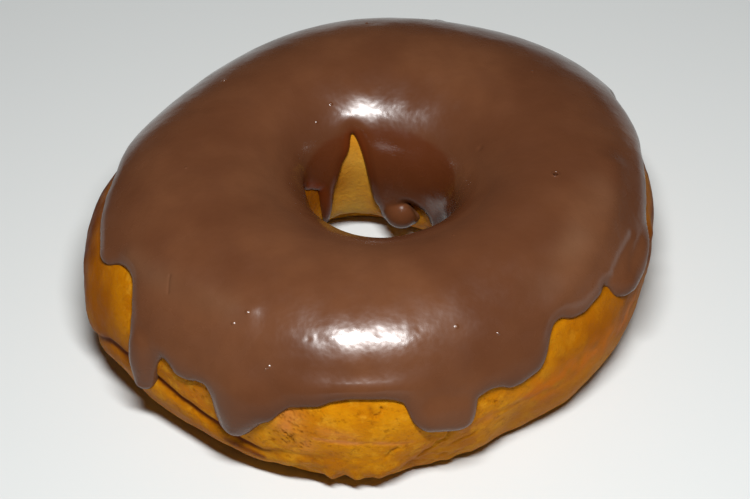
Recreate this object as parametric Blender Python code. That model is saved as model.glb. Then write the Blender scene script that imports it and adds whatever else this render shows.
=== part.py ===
"""A ring doughnut, about 95 mm across, with a poured coat of milk-chocolate icing.

Metres, +Z up, the foot of the dough on z = 0 and the middle of the whole on the Z axis.
The front, which carries the long runs of icing, faces -Y.

Two solids are made: the dough ring and the icing skin, which lies GAP clear of the dough.
Both start as a torus whose vertices are then laid on the ring's own surface. A place on that
surface is given by two numbers: the azimuth (degrees from +X, counter-clockwise from above)
and the reach, the distance in metres from the crest along the section, positive down the
outside of the ring and negative down into the hole.
"""

import math

import bmesh
import bpy
import numpy as np

# ring: sizes of the dough
OUTER_RADIUS = 0.0456
HOLE_RADIUS = 0.0122
DOUGH_HEIGHT = 0.0306
CREST_SHARE = 0.47        # where the crest lies between hole and outside
OUTER_WAIST_SHARE = 0.49  # height of the widest place, as a share of the height
HOLE_WAIST_SHARE = 0.50   # height of the tightest place of the hole
SINK = 0.0025             # how far the round section would reach below the flat foot
ROUND_TOP = 2.0           # exponents of the section's four quarters
ROUND_HOLE_TOP = 2.2
ROUND_OUTER_FOOT = 2.9
ROUND_HOLE_FOOT = 2.8

# waves of the plan: (count round the ring, cosine part, sine part)
OUTER_WAVES = ((1, -0.0006, 0.0), (2, 0.0011, 0.0025), (3, -0.0004, -0.0002),
               (4, 0.0002, 0.0004), (5, -0.0006, -0.0004))
HOLE_WAVES = ((2, 0.0007, -0.0009), (3, 0.0003, 0.0005))
HEIGHT_WAVE = (-0.0004, -0.0011)

# the fold that runs along the lower front and the rolled lip under it
FOLD_DEPTH = 0.0008
FOLD_WIDTH = 0.0009
FOLD_RAMP = 8.0           # degrees over which the fold fades in and out at its ends
FOLD_LINE = ((198.0, 0.0328), (206.0, 0.0283), (212.4, 0.0275), (220.0, 0.0283), (225.2, 0.0294),
             (230.4, 0.0304), (236.0, 0.0313), (239.6, 0.0330), (244.4, 0.0335), (248.4, 0.0324),
             (256.4, 0.0320))
LIP_SWELL = 0.0004
LIP_OFFSET = 0.0030       # middle of the lip below the fold
LIP_WIDTH = 0.0024
# swells and flats of the outside: (azimuth, half width in degrees, reach, half width, metres out)
SWELLS = ((48.0, 26.0, 0.0120, 0.0120, -0.0010), (120.0, 24.0, 0.0120, 0.0120, -0.0008),
          (178.0, 10.0, 0.0220, 0.0080, 0.0004), (198.0, 6.0, 0.0290, 0.0060, 0.0012),
          (225.0, 9.0, 0.0290, 0.0080, -0.0006), (2.0, 10.0, 0.0200, 0.0080, 0.0007),
          (279.0, 5.0, 0.0345, 0.0050, -0.0008), (300.0, 7.0, 0.0345, 0.0050, -0.0009),
          (348.0, 4.0, 0.0250, 0.0040, 0.0005), (60.0, 18.0, 0.0300, 0.0070, 0.0005),
          (120.0, 14.0, 0.0300, 0.0070, -0.0005))

# icing
GAP = 0.00032
ICING_THICKNESS = 0.00125
DRIP_RADIUS_SCALE = 0.0485   # ring radius by which azimuth turns into metres outside
HOLE_RADIUS_SCALE = 0.0110   # the same in the hole
RUN_SHOULDER = 0.0022        # width over which a thicker run rises
BLEND = 0.0008               # rounding where a drip leaves the sheet

# edge of the sheet outside: (azimuth, reach)
SHEET_EDGE = ((8.0, 0.0178), (16.0, 0.0192), (27.0, 0.0184), (40.0, 0.0204), (54.0, 0.0176),
              (68.0, 0.0192), (82.0, 0.0182), (97.0, 0.0206), (112.0, 0.0178), (126.0, 0.0188),
              (140.0, 0.0172), (153.0, 0.0188), (166.0, 0.0172), (176.0, 0.0147), (184.0, 0.0154),
              (188.0, 0.0160), (191.6, 0.0165), (194.0, 0.0170), (196.6, 0.0176), (198.6, 0.0170),
              (200.8, 0.0155), (204.4, 0.0145),
              (206.8, 0.0149), (210.0, 0.0171), (212.0, 0.0196), (213.2, 0.0228), (213.8, 0.0268),
              (214.8, 0.0300), (216.6, 0.0312), (218.3, 0.0306), (219.3, 0.0288), (219.9, 0.0262),
              (220.6, 0.0238), (221.6, 0.0222), (223.4, 0.0222), (225.4, 0.0232), (228.0, 0.0233),
              (231.2, 0.0224), (233.2, 0.0228), (234.4, 0.0248), (235.2, 0.0280), (236.7, 0.0298),
              (238.6, 0.0305), (240.3, 0.0302), (242.0, 0.0290), (244.8, 0.0260), (247.4, 0.0243),
              (249.4, 0.0223), (250.6, 0.0214), (252.8, 0.0210), (256.8, 0.0205), (259.0, 0.0197),
              (262.0, 0.0192), (266.0, 0.0192), (269.4, 0.0195), (272.2, 0.0201), (273.4, 0.0208),
              (274.0, 0.0221), (274.8, 0.0240), (276.2, 0.0258), (278.4, 0.0268), (281.0, 0.0276),
              (283.4, 0.0284), (285.2, 0.0284), (286.8, 0.0279), (288.0, 0.0268), (288.8, 0.0248),
              (289.2, 0.0235), (290.2, 0.0230), (292.4, 0.0227), (294.4, 0.0230), (297.2, 0.0240),
              (299.4, 0.0241), (302.4, 0.0236), (305.2, 0.0228), (307.2, 0.0210), (308.9, 0.0189),
              (310.8, 0.0174), (313.0, 0.0172), (315.6, 0.0182), (318.4, 0.0187), (322.0, 0.0185),
              (325.2, 0.0182), (327.6, 0.0179), (328.6, 0.0188), (329.2, 0.0206), (330.4, 0.0218),
              (333.0, 0.0227), (336.5, 0.0231), (340.0, 0.0232), (343.5, 0.0220), (348.2, 0.0200),
              (354.0, 0.0186))
# drips outside: (azimuth, reach, radius) at the root, the same at the tip
DRIPS = (((32.0, 0.0170, 0.0034), (33.0, 0.0238, 0.0025)),
         ((74.0, 0.0170, 0.0030), (75.0, 0.0218, 0.0026)),
         ((104.0, 0.0180, 0.0040), (103.0, 0.0256, 0.0026)),
         ((147.0, 0.0170, 0.0032), (146.0, 0.0232, 0.0024)))
# edge of the sheet in the hole: (azimuth, reach into the hole)
HOLE_EDGE = ((0.0, 0.0290), (14.0, 0.0272), (26.0, 0.0300), (35.0, 0.0335), (39.0, 0.0342),
             (41.6, 0.0330), (44.0, 0.0309), (54.0, 0.0286), (62.0, 0.0279), (68.0, 0.0275),
             (75.0, 0.0284), (82.0, 0.0300), (88.4, 0.0316), (92.0, 0.0302), (96.4, 0.0280),
             (99.9, 0.0231), (103.2, 0.0181), (107.2, 0.0151), (111.0, 0.0177), (117.8, 0.0206),
             (122.5, 0.0235), (126.0, 0.0262), (128.6, 0.0303), (130.6, 0.0334), (133.4, 0.0338),
             (136.2, 0.0312), (138.4, 0.0260), (143.0, 0.0238), (150.0, 0.0224), (158.0, 0.0206),
             (166.0, 0.0212), (178.0, 0.0242), (190.0, 0.0285), (210.0, 0.0262), (232.0, 0.0300),
             (255.0, 0.0268), (280.0, 0.0294), (305.0, 0.0272), (330.0, 0.0298), (346.0, 0.0276))
HOLE_DRIPS = (((76.0, 0.0270, 0.0016), (71.5, 0.0338, 0.0030)),
              ((236.0, 0.0270, 0.0020), (237.0, 0.0325, 0.0018)),
              ((318.0, 0.0280, 0.0020), (317.0, 0.0322, 0.0018)))
USUAL_OUTER_END = 0.0180     # where the coat ends on average, outside and in the hole
USUAL_HOLE_END = -0.0270
# thicker runs on the coat: (azimuth, reach, radius) at both ends, and the height in metres
RUNS = (((216.0, 0.0205, 0.0026), (216.7, 0.0288, 0.0022), 0.0007),
        ((241.0, 0.0215, 0.0042), (239.6, 0.0280, 0.0024), 0.0007),
        ((279.0, 0.0242, 0.0032), (285.0, 0.0256, 0.0028), 0.0006),
        ((344.0, 0.0180, 0.0030), (332.5, 0.0203, 0.0026), 0.0007),
        ((104.0, 0.0210, 0.0028), (103.0, 0.0258, 0.0026), 0.0007))
HOLE_RUNS = (((74.0, 0.0295, 0.0018), (71.5, 0.0338, 0.0028), 0.0012),
             ((237.0, 0.0300, 0.0016), (237.0, 0.0325, 0.0020), 0.0006),
             ((317.0, 0.0300, 0.0016), (317.0, 0.0322, 0.0020), 0.0006))

# fineness of the solids
DOUGH_COLUMNS = 88
ICING_COLUMNS = 150
ICING_ROWS = 14
FINE_STEP = 0.25          # degrees between the places where the edge lines are read
EASE_STEPS = 5            # steps on each side over which an edge is averaged
STEEP_WEIGHT = 1.2        # how strongly a steep edge draws columns to it
SECTION_RADIUS = 0.0140   # usual radius of the section, from which the sag of flat faces follows
TORUS_TUBE = 0.018
TORUS_RING = 0.030
# section angles of the dough, degrees from the outer waist over the crest
DOUGH_ANGLES = (-78.0, -62.0, -50.0, -41.0, -33.0, -26.0, -19.0, -12.0, -5.0, 3.0, 12.0, 22.0,
                36.0, 54.0, 74.0, 95.0, 116.0, 135.0, 153.0, 172.0, 192.0, 213.0, 235.0, 257.0)


def wave_sum(waves, azimuth):
    """Sum of the plan's waves at an azimuth in radians."""
    total = np.zeros_like(azimuth)
    for count, cos_part, sin_part in waves:
        total += cos_part * np.cos(count * azimuth) + sin_part * np.sin(count * azimuth)
    return total


def power(value, exponent):
    """Signed power, which squares off the quarters of the section."""
    return np.sign(value) * np.abs(value) ** (2.0 / exponent)


def section_point(outer, hole, height, angle):
    """Radius and height of the round section at an angle in radians (0 is the outer waist)."""
    crest = hole + CREST_SHARE * (outer - hole)
    cos_a = np.cos(angle)
    sin_a = np.sin(angle)
    outside = cos_a > 0.0
    upper = sin_a > 0.0
    waist = np.where(outside, OUTER_WAIST_SHARE, HOLE_WAIST_SHARE) * height
    half = np.where(outside, outer - crest, crest - hole)
    top = np.where(outside, ROUND_TOP, ROUND_HOLE_TOP)
    foot = np.where(outside, ROUND_OUTER_FOOT, ROUND_HOLE_FOOT)
    exponent = np.where(upper, top, foot)
    radius = crest + half * power(cos_a, exponent)
    rise = np.where(upper, height - waist, waist + SINK)
    level = waist + rise * power(sin_a, exponent)
    return radius, level


def reach_table():
    """Angles and reaches of the mean section, from the hole side to the outside."""
    angle = np.radians(np.arange(250.0, -86.0, -0.5))
    radius, level = section_point(OUTER_RADIUS, HOLE_RADIUS, DOUGH_HEIGHT, angle)
    steps = np.hypot(np.diff(radius), np.diff(level))
    reach = np.concatenate(([0.0], np.cumsum(steps)))
    reach -= np.interp(-math.pi / 2.0, -angle, reach)
    return angle, reach


TABLE_ANGLE, TABLE_REACH = reach_table()


def angle_at(reach):
    """Section angle at a reach."""
    return np.interp(reach, TABLE_REACH, TABLE_ANGLE)


def reach_at(angle):
    """Reach at a section angle."""
    return np.interp(-angle, -TABLE_ANGLE, TABLE_REACH)


def turn(azimuth, middle):
    """Signed difference of two azimuths in degrees, in -180 to 180."""
    return (np.degrees(azimuth) - middle + 180.0) % 360.0 - 180.0


def swell(distance, width):
    """Bell that is one in the middle and falls off over a width."""
    return np.exp(-(distance / width) ** 2)


def step(value, low, high):
    """Smooth step from nought at low to one at high."""
    share = np.clip((value - low) / (high - low), 0.0, 1.0)
    return share * share * (3.0 - 2.0 * share)


def fold_relief(azimuth, reach):
    """Fold of the dough and the rolled lip under it, metres outward."""
    degrees = np.degrees(azimuth) % 360.0
    places = np.array(FOLD_LINE)
    line = np.interp(degrees, places[:, 0], places[:, 1])
    window = step(degrees, places[0, 0] - FOLD_RAMP, places[0, 0] + FOLD_RAMP)
    window = window * (1.0 - step(degrees, places[-1, 0] - FOLD_RAMP, places[-1, 0] + FOLD_RAMP))
    total = -FOLD_DEPTH * window * swell(reach - line, FOLD_WIDTH)
    return total + LIP_SWELL * window * swell(reach - line - LIP_OFFSET, LIP_WIDTH)


def swell_relief(azimuth, reach):
    """Swells and flats of the dough, metres outward."""
    total = np.zeros_like(reach)
    for middle, half_width, level, half_level, out in SWELLS:
        total += out * swell(reach - level, half_level) * swell(turn(azimuth, middle), half_width)
    return total


def plan_middle():
    """Middle of the outside's bounding box in plan, which is moved onto the Z axis."""
    azimuth = np.radians(np.arange(0.0, 360.0, 0.5))
    outer = OUTER_RADIUS + wave_sum(OUTER_WAVES, azimuth)
    along_x = outer * np.cos(azimuth)
    along_y = outer * np.sin(azimuth)
    return (along_x.max() + along_x.min()) / 2.0, (along_y.max() + along_y.min()) / 2.0


MIDDLE_X, MIDDLE_Y = plan_middle()


def round_surface(azimuth, angle):
    """Points of the ring's round section, before relief and before the flat foot."""
    outer = OUTER_RADIUS + wave_sum(OUTER_WAVES, azimuth)
    hole = HOLE_RADIUS + wave_sum(HOLE_WAVES, azimuth)
    height = DOUGH_HEIGHT + HEIGHT_WAVE[0] * np.cos(azimuth) + HEIGHT_WAVE[1] * np.sin(azimuth)
    radius, level = section_point(outer, hole, height, angle)
    along_x = radius * np.cos(azimuth) - MIDDLE_X
    along_y = radius * np.sin(azimuth) - MIDDLE_Y
    return np.stack([along_x, along_y, level], axis=-1)


def outward(azimuth, angle):
    """Unit normals of the round section."""
    small = math.radians(0.4)
    across = round_surface(azimuth + small, angle) - round_surface(azimuth - small, angle)
    down = round_surface(azimuth, angle + small) - round_surface(azimuth, angle - small)
    normal = np.cross(across, down)
    return normal / np.linalg.norm(normal, axis=-1, keepdims=True)


def ring_surface(azimuth, angle, lift, deepest):
    """Points of the dough's surface, lifted along its normal; the icing bridges the fold."""
    reach = reach_at(angle)
    fold = np.maximum(fold_relief(azimuth, reach), deepest)
    offset = fold + swell_relief(azimuth, reach) + lift
    return round_surface(azimuth, angle) + outward(azimuth, angle) * offset[..., None]


def edge_line(points, azimuth):
    """Reach of a closed edge line that passes smoothly through its named points."""
    degrees = np.array([point[0] for point in points])
    reach = np.array([point[1] for point in points])
    degrees = np.concatenate((degrees[-3:] - 360.0, degrees, degrees[:3] + 360.0))
    reach = np.concatenate((reach[-3:], reach, reach[:3]))
    slope = np.gradient(reach, degrees)
    where = np.degrees(azimuth) % 360.0
    index = np.clip(np.searchsorted(degrees, where, side="right") - 1, 0, len(degrees) - 2)
    span = degrees[index + 1] - degrees[index]
    share = (where - degrees[index]) / span
    rise = share * share * (3.0 - 2.0 * share)
    start_pull = share * (1.0 - share) ** 2 * span
    end_pull = share ** 2 * (share - 1.0) * span
    line = reach[index] + (reach[index + 1] - reach[index]) * rise
    return line + start_pull * slope[index] + end_pull * slope[index + 1]


def drop_distance(azimuth, reach, root, tip, scale):
    """Depth inside a drip that tapers from its root to its tip, metres, negative outside."""
    length_x = math.radians(tip[0] - root[0]) * scale
    length_y = tip[1] - root[1]
    from_x = np.radians(turn(azimuth, root[0])) * scale
    from_y = reach - root[1]
    share = (from_x * length_x + from_y * length_y) / (length_x ** 2 + length_y ** 2)
    share = np.clip(share, 0.0, 1.0)
    away = np.hypot(from_x - share * length_x, from_y - share * length_y)
    return root[2] + (tip[2] - root[2]) * share - away


def join(first, second):
    """Larger of two depths, rounded where they are nearly equal."""
    near = np.clip(BLEND - np.abs(first - second), 0.0, BLEND) / BLEND
    return np.maximum(first, second) + near * near * BLEND / 4.0


def cover(azimuth, reach, edge, drips, scale):
    """Depth inside the icing on one side of the crest, metres, negative on bare dough."""
    total = edge_line(edge, azimuth) - reach
    for root, tip in drips:
        total = join(total, drop_distance(azimuth, reach, root, tip, scale))
    return total


def edge_reach(azimuth, edge, drips, scale):
    """Reach at which the icing ends, for each azimuth."""
    steps = np.arange(0.008, 0.038, 0.0001)
    depth = cover(azimuth[:, None], steps[None, :], edge, drips, scale)
    last = len(steps) - 1 - np.argmax(depth[:, ::-1] > 0.0, axis=1)
    return steps[last]


def edge_table(edge, drips, scale):
    """Azimuths round the ring and the edge's reach there, with steep sides eased."""
    azimuth = np.radians(np.arange(0.0, 360.0, FINE_STEP))
    reach = edge_reach(azimuth, edge, drips, scale)
    total = np.zeros_like(reach)
    for shift in range(-EASE_STEPS, EASE_STEPS + 1):
        total += np.roll(reach, shift)
    return np.append(azimuth, 2.0 * math.pi), np.append(total, total[0]) / (2 * EASE_STEPS + 1)


def run_height(azimuth, reach):
    """Extra thickness of the icing where it has run and gathered."""
    total = np.zeros_like(azimuth)
    for root, tip, height in RUNS:
        depth = drop_distance(azimuth, reach, root, tip, DRIP_RADIUS_SCALE)
        total = np.maximum(total, height * step(depth, 0.0, RUN_SHOULDER))
    for root, tip, height in HOLE_RUNS:
        depth = drop_distance(azimuth, -reach, root, tip, HOLE_RADIUS_SCALE)
        total = np.maximum(total, height * step(depth, 0.0, RUN_SHOULDER))
    return total


def shaped_torus(name, columns, rows, place):
    """Torus whose vertices are laid by a function of their column and row numbers."""
    bpy.ops.mesh.primitive_torus_add(major_segments=columns, minor_segments=rows,
                                     major_radius=TORUS_RING, minor_radius=TORUS_TUBE)
    piece = bpy.context.object
    piece.name = name
    piece.data.name = name
    mesh = piece.data
    flat = np.zeros(len(mesh.vertices) * 3)
    mesh.vertices.foreach_get("co", flat)
    points = flat.reshape(-1, 3)
    azimuth = np.arctan2(points[:, 1], points[:, 0])
    tube = np.arctan2(points[:, 2], np.hypot(points[:, 0], points[:, 1]) - TORUS_RING)
    column = np.rint(azimuth / (2.0 * math.pi) * columns).astype(int) % columns
    row = np.rint(tube / (2.0 * math.pi) * rows).astype(int) % rows
    mesh.vertices.foreach_set("co", place(column, row).ravel())
    mesh.update()
    shell = bmesh.new()
    shell.from_mesh(mesh)
    bmesh.ops.recalc_face_normals(shell, faces=shell.faces)
    shell.to_mesh(mesh)
    shell.free()
    for polygon in mesh.polygons:
        polygon.use_smooth = True
    return piece


def dough_place(column, row):
    """Vertices of the dough ring: the surface with its foot cut flat at z = 0."""
    azimuth = column * (2.0 * math.pi / DOUGH_COLUMNS)
    angle = np.radians(np.array(DOUGH_ANGLES))[row]
    points = ring_surface(azimuth, angle, 0.0, -FOLD_DEPTH * 2.0)
    points[:, 2] = np.maximum(points[:, 2], 0.0)
    return points


OUTER_TABLE = edge_table(SHEET_EDGE, DRIPS, DRIP_RADIUS_SCALE)
HOLE_TABLE = edge_table(HOLE_EDGE, HOLE_DRIPS, HOLE_RADIUS_SCALE)


def column_azimuths():
    """Azimuths of the icing's columns, closer together where an edge runs steeply."""
    azimuth, outer_end = OUTER_TABLE
    hole_end = HOLE_TABLE[1]
    across = np.diff(azimuth) * DRIP_RADIUS_SCALE
    outer_step = np.abs(np.diff(outer_end)) * STEEP_WEIGHT
    hole_step = np.abs(np.diff(hole_end)) * STEEP_WEIGHT
    length = np.concatenate(([0.0], np.cumsum(across + outer_step + hole_step)))
    return np.interp(np.arange(ICING_COLUMNS) * length[-1] / ICING_COLUMNS, length, azimuth)


def icing_place(column, row):
    """Vertices of the icing: top skin, hole rim, under skin and outer rim in one loop.

    A flat face lies inside the round surface by its sag, so every vertex is lifted by as much.
    """
    azimuth = column_azimuths()
    outer_ends = np.interp(azimuth, OUTER_TABLE[0], OUTER_TABLE[1])
    hole_ends = -np.interp(azimuth, HOLE_TABLE[0], HOLE_TABLE[1])
    outer_step = np.abs(np.gradient(outer_ends))[column]
    hole_step = np.abs(np.gradient(hole_ends))[column]
    outer_end = outer_ends[column]
    hole_end = hole_ends[column]
    azimuth = azimuth[column]
    top = row <= ICING_ROWS
    hole_rim = row == ICING_ROWS + 1
    under = (row > ICING_ROWS + 1) & (row <= 2 * ICING_ROWS + 2)
    outer_rim = row == 2 * ICING_ROWS + 3
    share = np.where(top, row, 2 * ICING_ROWS + 2 - row) / ICING_ROWS
    share = np.clip(share, 0.0, 1.0)
    inset = ICING_THICKNESS * np.where(top, 0.55, 0.30)
    middle = USUAL_OUTER_END + (USUAL_HOLE_END - USUAL_OUTER_END) * share
    outer_pull = outer_end - inset - USUAL_OUTER_END
    hole_pull = hole_end + inset - USUAL_HOLE_END
    reach = middle + outer_pull * (1.0 - share) ** 2 + hole_pull * share ** 2
    reach = np.where(hole_rim, hole_end, reach)
    reach = np.where(outer_rim, outer_end, reach)
    row_step = USUAL_OUTER_END - USUAL_HOLE_END
    row_step = row_step + 2.0 * outer_pull * (1.0 - share) - 2.0 * hole_pull * share
    span = row_step / ICING_ROWS + outer_step * (1.0 - share) ** 2 + hole_step * share ** 2
    sag = span ** 2 / (8.0 * SECTION_RADIUS)
    thick = ICING_THICKNESS + run_height(azimuth, reach)
    lift = GAP + sag + np.where(top, thick, np.where(under, 0.0, 0.45 * thick))
    return ring_surface(azimuth, angle_at(reach), lift, 0.0)


def finish(piece, colour, roughness):
    """Own material of a sub-part."""
    material = bpy.data.materials.new(piece.name + "_material")
    material.use_nodes = True
    shader = material.node_tree.nodes["Principled BSDF"]
    shader.inputs["Base Color"].default_value = colour
    shader.inputs["Roughness"].default_value = roughness
    shader.inputs["Metallic"].default_value = 0.0
    piece.data.materials.clear()
    piece.data.materials.append(material)


def main():
    """Build the dough ring and the icing skin."""
    for old in list(bpy.data.objects):
        bpy.data.objects.remove(old, do_unlink=True)
    dough = shaped_torus("dough", DOUGH_COLUMNS, len(DOUGH_ANGLES), dough_place)
    finish(dough, (0.50, 0.21, 0.035, 1.0), 0.6)
    icing = shaped_torus("icing", ICING_COLUMNS, 2 * ICING_ROWS + 4, icing_place)
    finish(icing, (0.13, 0.055, 0.028, 1.0), 0.3)


main()
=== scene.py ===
"""Looks of an iced ring doughnut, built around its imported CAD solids.

Metres, +Z up, foot on z = 0, the front with the long drips towards -Y. A place on the ring is
given by its azimuth (degrees from +X, counter-clockwise from above) and its reach: the distance
from the crest along the section, positive down the outside and negative down into the hole.
"""

import logging
import math
from dataclasses import dataclass
from enum import Enum
from functools import lru_cache
from itertools import product
from typing import Callable

import bmesh
import bpy
import numpy as np
from mathutils import Matrix, Quaternion, Vector
from mathutils.kdtree import KDTree


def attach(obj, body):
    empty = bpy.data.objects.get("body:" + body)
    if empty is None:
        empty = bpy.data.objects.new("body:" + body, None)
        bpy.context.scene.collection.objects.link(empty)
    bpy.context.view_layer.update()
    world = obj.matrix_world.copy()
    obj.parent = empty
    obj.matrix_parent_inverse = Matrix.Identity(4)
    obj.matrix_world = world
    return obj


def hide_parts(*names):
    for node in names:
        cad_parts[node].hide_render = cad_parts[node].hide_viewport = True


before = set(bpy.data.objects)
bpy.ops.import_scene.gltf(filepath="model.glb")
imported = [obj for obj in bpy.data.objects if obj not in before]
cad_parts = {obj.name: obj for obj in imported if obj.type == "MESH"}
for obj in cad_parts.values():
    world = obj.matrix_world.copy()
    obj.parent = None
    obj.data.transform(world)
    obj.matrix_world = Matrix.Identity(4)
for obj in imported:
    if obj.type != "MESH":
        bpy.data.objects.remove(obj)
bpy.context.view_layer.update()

LOG = logging.getLogger("doughnut")
Array = np.ndarray
Place = tuple[float, float]          # azimuth in degrees, reach in metres
Dab = tuple[float, float, float]     # azimuth in degrees, reach and radius in metres
Band = tuple[float, float]           # start and end of a stretch, in metres, degrees or shares

MM_PER_METRE = 1000.0
LEAST_LENGTH = 1e-9                  # metres, against division by nought
OUTER_SCALE = 0.0485                 # ring radius by which the azimuths of outer drips are read
HOLE_SCALE = 0.0110                  # the same for the drips in the hole

CORNER_PRIMES = (73856093, 19349663, 83492791)     # tell the corners of the noise's cells apart
MIX_PRIME = 1274126177
SEED_PRIME = 668265263
SEED_SHIFT = 11.37                   # cells between the pattern of one seed and the next
KEY_MASK = 0xFFFF                    # the largest key of a corner


class Side(Enum):
    """The two sides on which the icing ends."""

    OUTSIDE = "outside"
    HOLE = "hole"


# small functions of shape


def ease(share: Array) -> Array:
    """Rise from nought to one that is level at both ends."""
    return share * share * (3.0 - 2.0 * share)


def step(value: Array, low: float, high: float) -> Array:
    """Smooth step from nought at low to one at high."""
    return ease(np.clip((value - low) / (high - low), 0.0, 1.0))


def swell(distance: Array, width: float) -> Array:
    """Bell that is one in the middle and falls off over a width."""
    return np.exp(-((distance / width) ** 2))


def power(value: Array, exponent: Array) -> Array:
    """Signed power, which squares off the quarters of the section."""
    return np.sign(value) * np.abs(value) ** (2.0 / exponent)


def turn(azimuth: Array, middle: float) -> Array:
    """Signed difference between azimuths in radians and one in degrees, in degrees."""
    return (np.degrees(azimuth) - middle + 180.0) % 360.0 - 180.0


def lump_noise(points: Array, cell: float, seed: int) -> Array:
    """Smooth noise from -1 to 1 whose lumps are about one cell across.

    Args:
        points: Places in metres, one row each.
        cell: Size of a lump in metres.
        seed: Number that picks one pattern of many.

    Returns:
        One value for each place.
    """
    scaled = points / cell + seed * SEED_SHIFT
    base = np.floor(scaled).astype(np.int64)
    share = ease(scaled - base)
    total = np.zeros(len(points))
    for corner in product((0, 1), repeat=3):
        key = (base + np.array(corner)) @ np.array(CORNER_PRIMES)
        key = (key ^ (key >> 13)) * MIX_PRIME + seed * SEED_PRIME
        key = (key ^ (key >> 16)) & KEY_MASK
        weight = np.ones(len(points))
        for axis in range(3):
            weight *= share[:, axis] if corner[axis] else 1.0 - share[:, axis]
        total += weight * (2.0 * key / KEY_MASK - 1.0)
    return total


def rough_noise(points: Array, cell: float, seed: int) -> Array:
    """Noise of three sizes added up, for a crust: one, a half and a quarter of the cell.

    Args:
        points: Places in metres.
        cell: Size of the largest lumps in metres.
        seed: Seed of the noise.

    Returns:
        The noise at each place, from about -1 to 1.
    """
    shares = (1.0, 0.5, 0.25)
    total = np.zeros(len(points))
    for layer, share in enumerate(shares):
        total += share * lump_noise(points, cell * share, seed + layer)
    return total / sum(shares)


@dataclass(frozen=True)
class Mottle:
    """A value that varies from place to place.

    It has a mean, a swing to both sides, the size of its patches in metres and a seed. A rough
    one has finer patches inside its patches.
    """

    mean: float
    swing: float
    cell: float
    seed: int
    rough: bool = False

    def at(self, points: Array) -> Array:
        """The value at each place in space."""
        noise = rough_noise if self.rough else lump_noise
        return self.mean + self.swing * noise(points, self.cell, self.seed)


def smooth_line(places: tuple[Place, ...], azimuth: Array) -> Array:
    """Reach of a closed edge line that passes smoothly through its named places.

    Args:
        places: Azimuths in rising order and the reach at each.
        azimuth: Where to read the line, in radians.

    Returns:
        The reach at each azimuth, in metres.
    """
    degrees = np.array([place[0] for place in places])
    reach = np.array([place[1] for place in places])
    degrees = np.concatenate((degrees[-3:] - 360.0, degrees, degrees[:3] + 360.0))
    reach = np.concatenate((reach[-3:], reach, reach[:3]))
    slope = np.gradient(reach, degrees)
    where = np.degrees(azimuth) % 360.0
    index = np.clip(np.searchsorted(degrees, where, side="right") - 1, 0, len(degrees) - 2)
    span = degrees[index + 1] - degrees[index]
    share = (where - degrees[index]) / span
    start_pull = share * (1.0 - share) ** 2 * span
    end_pull = share**2 * (share - 1.0) * span
    line = reach[index] + (reach[index + 1] - reach[index]) * ease(share)
    return line + start_pull * slope[index] + end_pull * slope[index + 1]


@dataclass(frozen=True)
class Swell:
    """A bell round one place, such as dough that stands out of its round form or is flat there.

    Its middle is an azimuth and a reach, and it falls off over a width in degrees and one in
    metres.
    """

    azimuth: float
    half_width: float
    reach: float
    half_reach: float
    out: float

    def at(self, azimuth: Array, reach: Array) -> Array:
        """What the bell adds at each place.

        Args:
            azimuth: Azimuths in radians.
            reach: Reaches in metres.

        Returns:
            The height in metres, or the share.
        """
        bell = swell(reach - self.reach, self.half_reach)
        return self.out * bell * swell(turn(azimuth, self.azimuth), self.half_width)


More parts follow.
